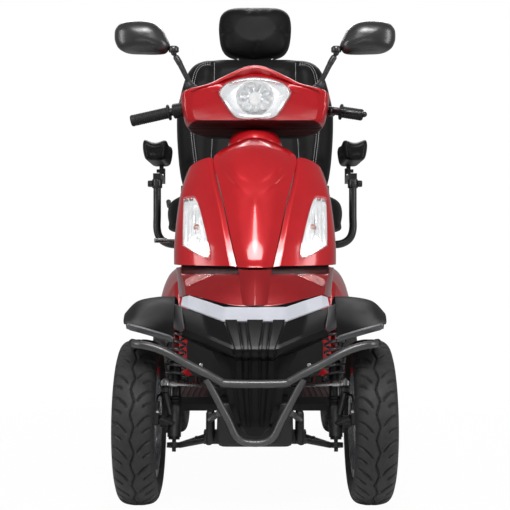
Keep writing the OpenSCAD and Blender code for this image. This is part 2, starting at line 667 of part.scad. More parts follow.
// A flat slab parallel to the cowl's front face, its near side at depth d before that face.
lamp_front = seat_gap + 0.2;
cowl_face = atan(0.10);
module cowl_front(d) {
  translate([0, bar_c_y - 97, 1000]) rotate([cowl_face, 0, 0]) block(-160, 160, -d, 90, -120, 160);
}
module headlamp_reflector() {
  color(silver) intersection() {
    lamp_prism(0.97, lamp_y - 30, bar_c_y - 40);
    difference() {
      cowl_front(-panel_wall - seat_gap);
      cowl_front(-panel_wall - 22);
      translate([0, bar_c_y - 152, 1034]) sphere(r = 74);
    }
  }
}
module dash_panel() {
  ring = cowl_at([0, 0.86, 0, -14], 0);
  color(black) union() {
    at_dash() difference() {
      translate([0, 4 + seat_gap, 0]) rotate([90, 0, 0]) linear_extrude(height = 4)
        polygon([for (p = ring) [p[0] * 0.985, (p[2] - 1000) / cos(dash_tilt) * 0.985]]);
      for (q = dash_holes) translate([q[0], 0, q[1]]) tube_y(-10, 20, q[2]);
    }
    at_dash() block(-18, 18, -18, seat_gap + 0.5, 30, 46);
    at_dash() block(-70, 70, seat_gap + 4, seat_gap + 9, 22, 66);
  }
}
key_at = [-100, 8];
dial_at = [0, -14];
horn_at = [100, 8];
dash_holes = [[-100, 8, 6.05], [0, -14, 5.05], [100, 8, 8.05]];
module ignition_key() {
  color(steel) at_dash() translate([key_at[0], 0, key_at[1]]) {
    tube_y(-16, 10, 6);
    tube_y(seat_gap + 4.2, 8, 9);
    block(-2, 2, 9, 34, -9, 9);
  }
}
module speed_dial() {
  color(black) at_dash() translate([dial_at[0], 0, dial_at[1]]) {
    tube_y(-12, 10, 5);
    tube_y(seat_gap + 4.4, 18, 13);
    block(-1.5, 1.5, 17, 20, 0, 12);
  }
}
module horn_button() {
  color(black) at_dash() translate([horn_at[0], 0, horn_at[1]]) {
    tube_y(-10, 12, 8);
    tube_y(-12, -9, 11);
  }
}
// Mirrors: steel stems from the handlebar, heads on a ball at the stem's end.
stem_path = [[150, -2, 1029.6], [156, -3, 1046], [168, -6, 1068], [186, -8, 1100], [206, -6, 1140],
  [219, -3, 1162]];
ball = [222, bar_c_y - 2, 1168];
module mirror_stems() {
  color(black) sides_of() union() {
    sweep(smooth([for (p = stem_path) [p[0], bar_c_y + p[1], p[2]]], 2), 5, 8, [0, 1, 0.1]);
    translate(ball) sphere(r = 8);
    translate([150, bar_c_y - 2, 1029.6]) cylinder(r = 9, h = 6);
  }
}
mirror_c = [302, bar_c_y, 1203];
function mirror_ring(y, k, dz) = [for (a = [0:15:345]) let (c = cos(a), s = sin(a))
  mirror_c + [-sign(c) * pow(abs(c), 0.55) * (mirror_w / 2 + 3) * k, y,
  sign(s) * pow(abs(s), 0.6) * (mirror_h / 2 + 3) * k + dz - 0.10 * c * 40 * k]];
module mirror_left() {
  color(black) difference() {
    union() {
      ring_loft([mirror_ring(-38, 0.45, 0), mirror_ring(-33, 0.74, 0), mirror_ring(-20, 0.93, 0),
        mirror_ring(-4, 1, 0), mirror_ring(4, 0.985, 0)]);
      translate(ball + [0, 0, 2]) cylinder(r = 14, h = 16);
    }
    translate(ball) sphere(r = 8 + run * 2);
    translate(ball + [0, 0, -30]) cylinder(r1 = 24, r2 = 9, h = 30);
    ring_loft([mirror_ring(0, 0.93, 0), mirror_ring(9, 0.93, 0)]);
  }
  color(silver) ring_loft([mirror_ring(0.3, 0.92, 0), mirror_ring(3.2, 0.92, 0)]);
}
module mirror_right() {
  mirror([1, 0, 0]) mirror_left();
}

// Front corner: strut on the raked axis, knuckle on the kingpin, arm below.
sleeve = 38;
stud_r = 5;
arm_s = -58;
pin_s = pitman_s + column_setback * rake_s;
module strut_left() {
  color(black) at_kingpin() difference() {
    union() {
      translate([0, 0, -44]) cylinder(r = kingpin_r, h = 92);
      translate([0, 0, -sleeve - 6]) cylinder(r = 14, h = 6 - seat_gap);
      translate([0, 0, arm_s - 16]) cylinder(r = stud_r, h = 34);
      translate([0, 0, sleeve + seat_gap]) cylinder(r = strut_r, h = 112 - seat_gap);
      translate([0, 0, strut_seat]) cylinder(r = spring_r + wire_r + 2, h = 4);
      translate([strut_r - 4, -14, 84]) cube([26, 12, 8]);
    }
    translate([0, 0, 66]) cylinder(r = rod_r + run, h = 120);
  }
}
module strut_right() {
  mirror([1, 0, 0]) strut_left();
}
disc_x = 50;
module knuckle_left() {
  color(grey) at_kingpin() difference() {
    union() {
      translate([0, 0, -sleeve]) cylinder(r = 17, h = 2 * sleeve);
      tube_x(6, front_track / 2 - kingpin_x + 40, 8.5);
      tube_x(8, 34, 15);
      rod([10, -14, 18], [pin_x, -steer_arm, pin_s - 20], 8);
      translate([pin_x, -steer_arm, pin_s - 22]) cylinder(r = 9, h = 14);
      translate([pin_x, -steer_arm, pin_s - 10]) cylinder(r = pin_r, h = 24);
      rod([2, -12, -6], [34, -44, 6], 7);
      translate([disc_x - 16, -disc_d / 2 - 12, -14]) cube([36, 38, 52]);
    }
    translate([0, 0, -60]) cylinder(r = kingpin_r + run, h = 120);
    tube_x(disc_x - 2, disc_x + 6, disc_d / 2 + 3);
  }
  color(grey) at_kingpin() difference() {
    tube_x(14, front_track / 2 - kingpin_x + 40, 8.5);
    translate([0, 0, -60]) cylinder(r = kingpin_r + run, h = 120);
  }
}
module knuckle_right() {
  mirror([1, 0, 0]) knuckle_left();
}
arm_eye = [kingpin_x, fy + arm_s * rake_s, axle_z + arm_s * rake_c];
module lower_arm_left() {
  p = [arm_pivot_x, cross_y, arm_pivot_z];
  color(black) difference() {
    union() {
      for (s = [-1, 1]) {
        translate(p + [0, s * 36, 0]) tube_y(-14, 14, 12);
        rod(p + [6, s * 36, -2], arm_eye + [-14, s * 6, 0], 6.5);
      }
      translate(arm_eye) rotate([-rake, 0, 0]) translate([0, 0, -6]) cylinder(r = 18, h = 12);
      rod(p + [34, -24, -6], p + [34, 24, -6], 5);
    }
    translate(p) tube_y(-80, 80, 6 + run);
    translate(arm_eye) rotate([-rake, 0, 0]) translate([0, 0, -20]) cylinder(r = 12.2, h = 40);
    block(0, arm_pivot_x + 16, cross_y - arm_ear_y - 1, cross_y + arm_ear_y + 1, 100, 240);
  }
}
module lower_arm_right() {
  mirror([1, 0, 0]) lower_arm_left();
}
// Links from the steering plate to the knuckle arms; all three arms stay parallel.
module tie_rod_left() {
  a = column_point(pitman_s, steer_arm) + [pin_x, 0, 0];
  b = [kingpin_x + pin_x, fy + pin_s * rake_s - steer_arm * rake_c, axle_z + pin_s * rake_c + steer_arm * rake_s];
  u = unit(b - a);
  color(steel) difference() {
    union() {
      translate(a) rotate([-rake, 0, 0]) translate([0, 0, -6]) cylinder(r = 11, h = 12);
      translate(b) rotate([-rake, 0, 0]) translate([0, 0, -6]) cylinder(r = 11, h = 12);
      rod(a + 8 * u, b - 8 * u, 5);
      rod(a + 12 * u, a + 30 * u, 7.5);
      rod(b - 30 * u, b - 12 * u, 7.5);
    }
    translate(a) rotate([-rake, 0, 0]) translate([0, 0, -20]) cylinder(r = pin_r + 1, h = 40);
    translate(b) rotate([-rake, 0, 0]) translate([0, 0, -20]) cylinder(r = pin_r + run, h = 40);
  }
}
module tie_rod_right() {
  mirror([1, 0, 0]) tie_rod_left();
}
module front_spring_left() {
  color(steel) at_kingpin() coil(spring_r, wire_r, strut_seat + 4, strut_top, front_coils);
}
module front_spring_right() {
  mirror([1, 0, 0]) front_spring_left();
}
spring_len = strut_top - strut_seat - 4.6 - 2 * wire_r;
echo(least_spring_gap = spring_len / front_coils - 2 * wire_r);
hose_r = 3;
module brake_hose_left() {
  path = [[32, -8, 83], [32.6, -9.9, 74], [33.6, -15.5, 66.5], [34.8, -23.6, 61.9], [36.5, -32.5, 61],
    [38.2, -41.4, 60.1], [39.4, -49.5, 55.5], [40.4, -55.1, 48], [41, -57, 39]];
  color(black) at_kingpin() sweep(smooth(path, 3), hose_r, 8, [1, 0, 0.05]);
}
module brake_hose_right() {
  mirror([1, 0, 0]) brake_hose_left();
}

// Wheels: alloy rims with spokes, hub and disc; tyres hollow and round-shouldered.
bead = rim_d / 2;
module tyre(w) {
  h = w / 2;
  rt = tyre_d / 2;
  hb = 36.4;
  prof = [[bead + 0.3, -hb], [bead + 12, -hb], [bead + 19, -h + 7], [bead + 38, -h], [rt - 18, -h + 3],
    [rt - 6, -h + 14], [rt, -h + 34], [rt, h - 34], [rt - 6, h - 14], [rt - 18, h - 3], [bead + 38, h],
    [bead + 19, h - 7], [bead + 12, hb], [bead + 0.3, hb], [bead + 0.3, 26], [bead + 14, 30],
    [bead + 38, h - 12], [rt - 18, h - 16], [rt - 12, h - 38], [rt - 12, 38 - h], [rt - 18, 16 - h],
    [bead + 38, 12 - h], [bead + 14, -30], [bead + 0.3, -26]];
  rotate([0, 90, 0]) rotate_extrude($fn = 96) polygon(prof);
}
module rim_body(hub0, hub1, bore) {
  prof = [[bead - 8, -42], [bead + 10, -42], [bead + 10, -37], [bead, -37], [bead, 37], [bead + 10, 37],
    [bead + 10, 42], [bead - 8, 42]];
  difference() {
    union() {
      rotate([0, 90, 0]) rotate_extrude($fn = 96) polygon(prof);
      tube_x(hub0, hub1, 28);
      for (k = [0:spokes - 1]) rotate([k * 360 / spokes, 0, 0]) block(8, 26, -15, 15, 20, bead - 3);
    }
    tube_x(-200, 200, bore);
  }
}
module front_rim_left() {
  color(silver) translate([front_track / 2, fy, axle_z]) {
    rim_body(-22, 34, 8.5 + run);
    difference() {
      dx = kingpin_x + disc_x - front_track / 2;
      tube_x(dx, dx + 4, disc_d / 2);
      tube_x(dx - 5, dx + 9, 20);
      for (k = [0:9]) rotate([k * 36, 0, 0]) translate([0, 0, disc_d / 2 - 12]) tube_x(dx - 5, dx + 9, 4);
      tube_x(dx - 5, dx + 9, 8.6);
    }
    difference() {
      dx = kingpin_x + disc_x - front_track / 2;
      tube_x(dx, -21, 26);
      tube_x(dx - 5, 0, 8.5 + run);
    }
  }
}
module front_rim_right() {
  mirror([1, 0, 0]) front_rim_left();
}
module front_tyre_left() {
  color(black) translate([front_track / 2, fy, axle_z]) tyre(tyre_w);
}
module front_tyre_right() {
  mirror([1, 0, 0]) front_tyre_left();
}
axle_out = rear_track / 2 - rear_tyre_w / 2 - 10;
module rear_rim_left() {
  color(silver) translate([rear_track / 2, ry, axle_z]) union() {
    rim_body(-40, 34, 1);
    tube_x(axle_out - rear_track / 2 - 74, 34, 10);
  }
}
module rear_rim_right() {
  mirror([1, 0, 0]) rear_rim_left();
}
module rear_tyre_left() {
  color(black) translate([rear_track / 2, ry, axle_z]) tyre(rear_tyre_w);
}
module rear_tyre_right() {
  mirror([1, 0, 0]) rear_tyre_left();
}

// Rear drive unit on its own swinging frame, sprung at the axle.
module swing_frame() {
  color(grey) difference() {
    union() {
      translate([0, ry, axle_z]) {
        tube_x(-axle_out, axle_out, 24);
        tube_x(-62, 62, 58);
      }
      translate([0, 0, axle_z]) tube_y(swing_y + 40, ry - 20, 52);
      sides_of() {
        translate([0, swing_y, swing_z]) tube_x(69, 94, 16);
        block(70, 93, swing_y, ry, swing_z - 10, swing_z + 8);
        block(shock_x - 14, shock_x + 14, ry - 14, ry + 14, axle_z, axle_z + 36);
      }
    }
    translate([0, swing_y, swing_z]) tube_x(-120, 120, 8 + run);
    sides_of() translate([0, ry, axle_z]) tube_x(axle_out - 80, axle_out + 10, 10 + run);
  }
}
shock_low = axle_z + 36;
module shock_one() {
  translate([shock_x, ry, 0]) {
    translate([0, 0, shock_low + seat_gap]) cylinder(r = 14, h = 86);
    translate([0, 0, shock_low + 20]) cylinder(r = 7, h = deck_z - seat_gap - shock_low - 20);
    translate([0, 0, shock_low + 16]) cylinder(r = 28, h = 4);
    translate([0, 0, deck_z - 12]) cylinder(r = 28, h = 12 - seat_gap);
  }
}
module rear_shocks() {
  color(steel) sides_of() {
    shock_one();
    translate([shock_x, ry, 0]) coil(spring_r - 1, wire_r, shock_low + 20, deck_z - 12, 6);
  }
}

// Seat: turning post, sliding pan, padded pieces, folding arms.
plate_z = pan_z - 26;
runner_x = 120;
socket_bore = 10.05;
module seat_post() {
  color(black) union() {
    translate([0, seat_y, deck_z + 14]) cylinder(r = seat_post_r, h = plate_z - deck_z - 10);
    translate([0, seat_y, socket_top + seat_gap]) cylinder(r = seat_post_r + 6, h = 6);
    block(-140, 140, seat_y - 130, seat_y + 130, plate_z, plate_z + 6);
    sides_of() {
      block(runner_x - 16, runner_x + 16, seat_y - 150, seat_y + 150, plate_z + 6, plate_z + 10);
      block(runner_x - 16, runner_x - 13, seat_y - 150, seat_y + 150, plate_z + 9, plate_z + 22);
      block(runner_x + 13, runner_x + 16, seat_y - 150, seat_y + 150, plate_z + 9, plate_z + 22);
    }
  }
}
cush_y = seat_y - 44;
cush_z = pan_z + 22;
hinge_y = seat_y + 204;
hinge_z = pan_z + 76;
ear_x = back_w / 2 - 4;
module seat_pan() {
  color(black) union() {
    sides_of() {
      block(runner_x - 12.9, runner_x + 12.9, seat_y - 140, seat_y + 140, plate_z + 10.1, pan_z + 1);
      block(ear_x - 30, ear_x - 24, hinge_y - 34, hinge_y + 18, pan_z, hinge_z + 20);
      translate([0, hinge_y, hinge_z]) tube_x(ear_x - 30, ear_x - 8, 9);
      block(190, ear_x - 24, hinge_y - 34, hinge_y + 2, pan_z, pan_z + 8);
    }
    block(-226, 226, cush_y - 190, hinge_y - 20, pan_z, pan_z + 8);
    translate([0, hinge_y, hinge_z]) tube_x(-ear_x - 24, -ear_x + 10, 7);
    block(-226, 226, cush_y - 190, cush_y + 190, pan_z, cush_z);
  }
  // Accessory socket behind the pan, for a cane holder or a flag.
  color(black) difference() {
    block(-18, 18, hinge_y - 20 + seat_gap, hinge_y + 42, pan_z - 18, pan_z + 18);
    translate([0, 0, pan_z]) tube_y(hinge_y - 16, hinge_y + 60, socket_bore);
  }
}
// Rounded outline of n points, a by b, corner power e.
function round_rect(a, b, n, e) = [for (i = [0:n - 1]) let (c = cos(360 * i / n), s = sin(360 * i / n))
  [sign(c) * pow(abs(c), e) * a / 2, sign(s) * pow(abs(s), e) * b / 2]];
cush_levels = [[0.90, 0.92, 0], [0.955, 0.965, 0.05], [0.99, 0.99, 0.3], [1, 1, 0.56], [0.985, 0.985, 0.8],
  [0.945, 0.95, 0.94], [0.87, 0.90, 1], [0.78, 0.85, 0.985], [0.70, 0.80, 0.90], [0.665, 0.775, 0.79],
  [0.63, 0.75, 0.80], [0.54, 0.68, 0.84], [0.36, 0.46, 0.845], [0.18, 0.23, 0.82], [0.02, 0.02, 0.81]];
module seat_cushion() {
  color(seat_grey) ring_loft([for (k = [len(cush_levels) - 1:-1:0]) let (l = cush_levels[k])
    [for (p = round_rect(cushion_w * l[0], cushion_l * l[1], 40, 0.42))
      [p[0], cush_y + p[1], cush_z + cushion_h * l[2]]]]);
}
back_base = hinge_z + 34;
module at_back() {
  translate([0, hinge_y, hinge_z]) rotate([-back_lean, 0, 0]) children();
}
// Backrest outline: full at the shoulders, drawn in at the foot.
function back_ring(k, y, n) = [for (p = round_rect(back_w, back_h, n, 0.3)) let (t = p[1] / back_h + 0.5)
  [p[0] * k * (0.90 + 0.10 * sin(min(t, 0.6) / 0.6 * 90) - 0.37 * max(0, t - 0.63)), y,
  40 + back_h / 2 + p[1] * k]];
back_levels = [[0.80, 62], [0.92, 56], [0.985, 34], [1, 8], [0.985, -18], [0.945, -36], [0.88, -45],
  [0.79, -44], [0.70, -34], [0.655, -24], [0.62, -25], [0.52, -31], [0.34, -32], [0.16, -28], [0.02, -27]];
module seat_back() {
  color(seat_grey) at_back() difference() {
    ring_loft([for (l = back_levels) back_ring(l[0], l[1], 40)]);
    sides_of() translate([58, 22, back_h - 60]) cylinder(r = 6 + run, h = 200);
  }
  color(black) at_back() sides_of() difference() {
    union() {
      tube_x(ear_x - 23, ear_x - 17, 20);
      block(ear_x - 23, ear_x - 17, -14, 70, 4, 120);
      block(ear_x - 80, ear_x - 17, 62.2, 70, 60, 120);
    }
    tube_x(0, 400, 9 + run);
  }
}
head_z = 40 + back_h + 7 + headrest_h / 2;
module headrest() {
  color(seat_grey) at_back() union() {
    ring_loft([for (l = [[0.80, 50], [0.93, 45], [1, 22], [1, -6], [0.95, -26], [0.84, -36], [0.70, -40],
      [0.5, -41], [0.26, -41.5], [0.02, -42]]) [for (p = round_rect(headrest_w * l[0], headrest_h * l[0], 32, 0.5))
      [p[0] * (1 + 0.0005 * p[1]), l[1] + 12, head_z + p[1]]]]);
    sides_of() translate([58, 22, back_h - 50]) cylinder(r = 6, h = 120);
  }
}
post_y = seat_y - 42;
pad_z = 905;
pivot_y = post_y + 158;
pivot_z = pad_z - 14;
module arm_posts() {
  path = smooth([[184, post_y, pan_z - 16], [post_x - 70, post_y, pan_z - 16],
    [post_x - 34, post_y, pan_z - 12], [post_x - 10, post_y, pan_z + 4], [post_x, post_y, pan_z + 32],
    [post_x, post_y, pan_z + 80], [post_x, post_y, pad_z - 72]], 3);
  color(black) sides_of() union() {
    sweep(path, post_r, 12, [0, 1, 0.03]);
    translate([post_x, post_y, pad_z - 80]) cylinder(r = post_r + 4, h = 28);
    block(post_x - 12, post_x + 12, post_y - 12, post_y + 168, pad_z - 56, pad_z - 34);
    block(post_x - 12, post_x - 7, post_y + 148, post_y + 168, pad_z - 56, pad_z - 6);
    translate([0, pivot_y, pivot_z]) tube_x(post_x - 12, post_x + 16, 6);
    rod([post_x + post_r - 2, post_y, pad_z - 66], [post_x + post_r + 18, post_y, pad_z - 66], 8);
    block(180, 224, post_y - 18, post_y + 18, pan_z - 8, pan_z);
  }
}
// Arm pad: dished top, rounded ends, two tabs on the pivot.
function pad_ring(y, k) = [for (p = [[0, 52], [22, 58], [34, 66], [37, 56], [35, 24], [30, 4], [22, 0], [0, 0],
  [-22, 0], [-30, 4], [-35, 24], [-37, 56], [-34, 66], [-22, 58]])
  [post_x + p[0] * k * pad_w / 74, y, pad_z + 4 + (p[1] - 4) * (k * 0.6 + 0.4)]];
module arm_pad_left() {
  y0 = post_y + 166 - pad_l;
  color(black) union() {
    ring_loft([for (q = [[0, 0.72], [8, 0.9], [26, 1], [pad_l - 26, 1], [pad_l - 8, 0.92], [pad_l, 0.76]])
      pad_ring(y0 + q[0], q[1])]);
    difference() {
      block(post_x - 6.6, post_x + 6, pivot_y - 12, pivot_y + 10, pad_z - 24, pad_z + 6);
      translate([0, pivot_y, pivot_z]) tube_x(post_x - 40, post_x + 40, 6 + run);
    }
  }
}
module arm_pad_right() {
  mirror([1, 0, 0]) arm_pad_left();
}
module swivel_lever() {
  color(steel) union() {
    difference() {
      translate([-196, cush_y - 150, pan_z - 10]) cylinder(r = 12, h = 9.7);
      translate([-196, cush_y - 150, pan_z - 20]) cylinder(r = 4 + run, h = 40);
    }
    rod([-204, cush_y - 154, pan_z - 5], [-262, cush_y - 176, pan_z - 5], 4);
    rod([-262, cush_y - 176, pan_z - 5], [-296, cush_y - 189, pan_z - 5], 7);
  }
}
module recline_lever() {
  color(black) at_back() difference() {
    union() {
      tube_x(-ear_x - 20, -ear_x - 10, 14);
      rod([-ear_x - 15, -8, 4], [-ear_x - 15, -96, 26], 5);
      rod([-ear_x - 15, -86, 23], [-ear_x - 15, -120, 31], 8);
    }
    tube_x(-400, 0, 7 + run);
  }
}

chassis_frame();
bumper_bar();
bumper_panel();
trim_strip();
fairing_centre();
fairing_sides();
chin_panel();
lamp_lenses();
front_fenders();
floor_pan();
knee_panel();
rear_body();
battery_pack();
steering_column();
handlebar();
handlebar_cowl();
headlamp_lens();
headlamp_reflector();
dash_panel();
left_grip();
mirror_stems();
throttle_grip();
brake_lever();
mirror_left();
mirror_right();
ignition_key();
speed_dial();
horn_button();
strut_left();
strut_right();
knuckle_left();
knuckle_right();
lower_arm_left();
lower_arm_right();
tie_rod_left();
tie_rod_right();
front_tyre_left();
front_tyre_right();
front_rim_left();
front_rim_right();
front_spring_left();
front_spring_right();
brake_hose_left();
brake_hose_right();
swing_frame();
rear_shocks();
rear_tyre_left();
rear_tyre_right();
rear_rim_left();
rear_rim_right();
seat_post();
seat_pan();
seat_cushion();
seat_back();
headrest();
arm_posts();
arm_pad_left();
arm_pad_right();
swivel_lever();
recline_lever();
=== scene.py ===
import math

import bmesh
import bpy
import numpy as np
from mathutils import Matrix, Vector
from mathutils.bvhtree import BVHTree


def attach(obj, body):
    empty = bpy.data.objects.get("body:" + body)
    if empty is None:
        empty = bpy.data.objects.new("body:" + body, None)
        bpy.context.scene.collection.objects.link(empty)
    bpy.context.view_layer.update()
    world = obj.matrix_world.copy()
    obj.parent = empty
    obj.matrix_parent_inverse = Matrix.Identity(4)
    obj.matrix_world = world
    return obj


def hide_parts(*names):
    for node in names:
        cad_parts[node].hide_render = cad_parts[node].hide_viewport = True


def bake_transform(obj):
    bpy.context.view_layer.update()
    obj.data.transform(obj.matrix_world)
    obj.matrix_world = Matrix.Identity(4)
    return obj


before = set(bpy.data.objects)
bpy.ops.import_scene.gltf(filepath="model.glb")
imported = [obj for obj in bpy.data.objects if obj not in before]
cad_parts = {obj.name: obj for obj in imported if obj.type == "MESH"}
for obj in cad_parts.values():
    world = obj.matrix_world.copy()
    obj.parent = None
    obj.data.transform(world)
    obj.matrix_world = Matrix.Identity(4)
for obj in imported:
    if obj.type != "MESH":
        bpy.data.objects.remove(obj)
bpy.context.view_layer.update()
scene = bpy.context.scene
scene.view_settings.view_transform = "Standard"

# Camera: square to the nose and level, at about the height of the fairing's foot,
# with a long lens, so that the wheels and the headrest keep nearly one scale.
EYE_BACK, EYE_UP = 3230.0, 616.0
view_data = bpy.data.cameras.new("front_view")
view_data.lens = 76.78
view_data.sensor_width = 36.0
view = bpy.data.objects.new("front_view", view_data)
view.location = (0.0, -EYE_BACK / 1000, EYE_UP / 1000)
view.rotation_euler = (math.radians(90), 0.0, 0.0)
scene.collection.objects.link(view)
scene.camera = view

# Brake hoses: short black rubber hoses, one on each side, pushed into a clip on
# the strut and into the top of the caliper.


def line_through(points, steps):
    """A smooth line through the points, with every span in equal steps."""
    p = np.asarray(points, float)
    out = []
    for k in range(len(p) - 1):
        a, b, c, d = p[max(k - 1, 0)], p[k], p[k + 1], p[min(k + 2, len(p) - 1)]
        for i in range(steps):
            t = i / steps
            out.append(0.5 * (2 * b + (c - a) * t + (2 * a - 5 * b + 4 * c - d) * t * t
                              + (3 * b - a - 3 * c + d) * t ** 3))
    out.append(p[-1])
    return np.array(out)


def sweep_of(line, radius, sides=14):
    """A round bar along a line; radius is one number or one for each point."""
    line = np.asarray(line, float)
    n = len(line)
    r = np.broadcast_to(np.asarray(radius, float), (n,))
    tang = np.gradient(line, axis=0)
    tang /= np.linalg.norm(tang, axis=1)[:, None]
    ref = np.array([0.0, 0.0, 1.0]) if abs(tang[0][2]) < 0.9 else np.array([1.0, 0.0, 0.0])
    u = np.cross(ref, tang[0])
    rings = []
    for i in range(n):
        u = u - tang[i] * (u @ tang[i])
        u /= np.linalg.norm(u)
        v = np.cross(tang[i], u)
        a = np.arange(sides) * 2 * math.pi / sides
        rings.append(line[i] + r[i] * (np.cos(a)[:, None] * u + np.sin(a)[:, None] * v))
    return loft_of(rings)


def loft_of(rings, capped=True):
    """A skin over rings with equal counts of points, closed at both ends if capped."""
    rings = [np.asarray(q, float) for q in rings]
    m, n = len(rings), len(rings[0])
    verts = [p for q in rings for p in q]
    faces = []
    for i in range(m - 1):
        for k in range(n):
            a, b = i * n + k, i * n + (k + 1) % n
            faces.append((a, b, b + n, a + n))
    if capped:
        for i, q in ((0, rings[0]), (m - 1, rings[-1])):
            c = len(verts)
            verts.append(q.mean(0))
            faces += [(c, i * n + k, i * n + (k + 1) % n) for k in range(n)]
    return np.array(verts), faces


def piece(name, *shapes, smooth=40):
    """A mesh object from shapes in mm; folds sharper than smooth degrees stay crisp."""
    verts, faces = [], []
    for v, f in shapes:
        o = len(verts)
        verts.extend((np.asarray(v, float) * 0.001).tolist())
        faces.extend(tuple(o + i for i in q) for q in f)
    mesh = bpy.data.meshes.new(name)
    mesh.from_pydata(verts, [], faces)
    bm = bmesh.new()
    bm.from_mesh(mesh)
    bmesh.ops.recalc_face_normals(bm, faces=bm.faces)
    bm.to_mesh(mesh)
    bm.free()
    mesh.polygons.foreach_set("use_smooth", [True] * len(mesh.polygons))
    mesh.set_sharp_from_angle(angle=math.radians(smooth))
    ob = bpy.data.objects.new(name, mesh)
    scene.collection.objects.link(ob)
    return ob


def node(tree, kind, values=None, **settings):
    """A new shader node with its settings and input values."""
    made = tree.nodes.new("ShaderNode" + kind)
    for key, value in settings.items():
        setattr(made, key, value)
    for key, value in (values or {}).items():
        made.inputs[key].default_value = value
    return made


def wire(tree, *links):
    """Joins shader nodes, each link given as node, output, node, input."""
    for a, out, b, into in links:
        tree.links.new(a.outputs[out], b.inputs[into])


def finish(name, colour, rough, metal=0.0, vary=0.10, patch=30.0, grain=0.12, grain_size=900.0,
           coat=0.0, coat_rough=0.03, clear=0.0, ior=1.5, sheen=0.0, cells=False, shine=0.5):
    """A surface whose colour, gloss and fine relief all vary a little from place to place."""
    mat = bpy.data.materials.new(name)
    mat.use_nodes = True
    tree = mat.node_tree
    shader = tree.nodes["Principled BSDF"]
    place = node(tree, "TexCoord")
    tone = node(tree, "ValToRGB")
    for stop, at, k in zip(tone.color_ramp.elements, (0.3, 0.7), (1 - vary, 1 + vary)):
        stop.position = at
        stop.color = (*[min(1.0, c * k) for c in colour], 1)
    gloss = node(tree, "MapRange", {"To Min": max(0.0, rough * 0.8), "To Max": min(1.0, rough * 1.2)})
    relief = node(tree, "Bump", {"Strength": grain, "Distance": 0.0004})
    patches = node(tree, "TexNoise", {"Scale": patch, "Detail": 4})
    smears = node(tree, "TexNoise", {"Scale": patch * 3, "Detail": 3})
    if cells:
        fine, height = node(tree, "TexVoronoi", {"Scale": grain_size}), "Distance"
    else:
        fine, height = node(tree, "TexNoise", {"Scale": grain_size, "Detail": 2}), "Fac"
    wire(tree, *[(place, "Object", n, "Vector") for n in (patches, smears, fine)],
         (patches, "Fac", tone, "Fac"), (tone, "Color", shader, "Base Color"),
         (smears, "Fac", gloss, "Value"), (gloss, "Result", shader, "Roughness"),
         (fine, height, relief, "Height"), (relief, "Normal", shader, "Normal"))
    for key, value in (("Metallic", metal), ("IOR", ior), ("Coat Weight", coat), ("Coat Roughness", coat_rough),
                       ("Transmission Weight", clear), ("Sheen Weight", sheen), ("Specular IOR Level", shine)):
        shader.inputs[key].default_value = value
    return mat


RAKE = math.radians(14)
FRONT_AXLE, AXLE_Z, KINGPIN = -530.0, 203.0, 200.0
SIDES = ((1, "left"), (-1, "right"))


def at_kingpin(points, side=1):
    """Points given across, forward-back and along the left kingpin, in the scooter's frame."""
    p = np.asarray(points, float)
    c, s = math.cos(RAKE), math.sin(RAKE)
    return np.stack([side * (KINGPIN + p[..., 0]), FRONT_AXLE + p[..., 1] * c + p[..., 2] * s,
                     AXLE_Z - p[..., 1] * s + p[..., 2] * c], -1)


hose_rubber = finish("hose_rubber", (0.012, 0.012, 0.013), 0.35, vary=0.2, grain=0.1)
hose_route = [[32, -8, 83], [32.6, -9.9, 74], [33.6, -15.5, 66.5], [34.8, -23.6, 61.9], [36.5, -32.5, 61],
              [38.2, -41.4, 60.1], [39.4, -49.5, 55.5], [40.4, -55.1, 48], [41, -57, 39]]
for side, word in SIDES:
    route = at_kingpin(line_through(hose_route, 5), side)
    hose = piece("brake_hose_" + word + "_run", sweep_of(route, 3.0, 12))
    hose.data.materials.append(hose_rubber)
    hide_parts("brake_hose_" + word)
    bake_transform(hose)

# Studio: a white floor that fades out with distance and keeps a faint shadow, and a white room that the
# eye sees bright but the lacquer reflects only dimly. Soft lamps hang above, in front, behind and at the sides.
floor = bpy.data.objects.new("studio_floor", bpy.data.meshes.new("studio_floor"))
floor.data.from_pydata([(-9, -9, 0), (9, -9, 0), (9, 9, 0), (-9, 9, 0)], [], [(0, 1, 2, 3)])
scene.collection.objects.link(floor)
white_floor = bpy.data.materials.new("white_floor")
white_floor.use_nodes = True
tree = white_floor.node_tree
matt = tree.nodes["Principled BSDF"]
matt.inputs["Base Color"].default_value = (0.86, 0.86, 0.86, 1)
matt.inputs["Roughness"].default_value = 0.9
bright = node(tree, "Emission")
rays = node(tree, "LightPath")
share = node(tree, "Math", {1: 0.97}, operation="MULTIPLY")
lit = node(tree, "MixShader")
place = node(tree, "TexCoord")
reach = node(tree, "VectorMath", operation="LENGTH")
fading = node(tree, "MapRange", {"From Min": 0.7, "From Max": 1.9}, interpolation_type="SMOOTHSTEP")
gone = node(tree, "BsdfTransparent")
faded = node(tree, "MixShader")
wire(tree, (rays, "Is Camera Ray", share, 0), (share, 0, lit, "Fac"), (matt, 0, lit, 1), (bright, 0, lit, 2),
     (place, "Object", reach, 0), (reach, "Value", fading, "Value"), (fading, "Result", faded, "Fac"),
     (lit, 0, faded, 1), (gone, 0, faded, 2), (faded, 0, tree.nodes["Material Output"], "Surface"))
floor.data.materials.append(white_floor)

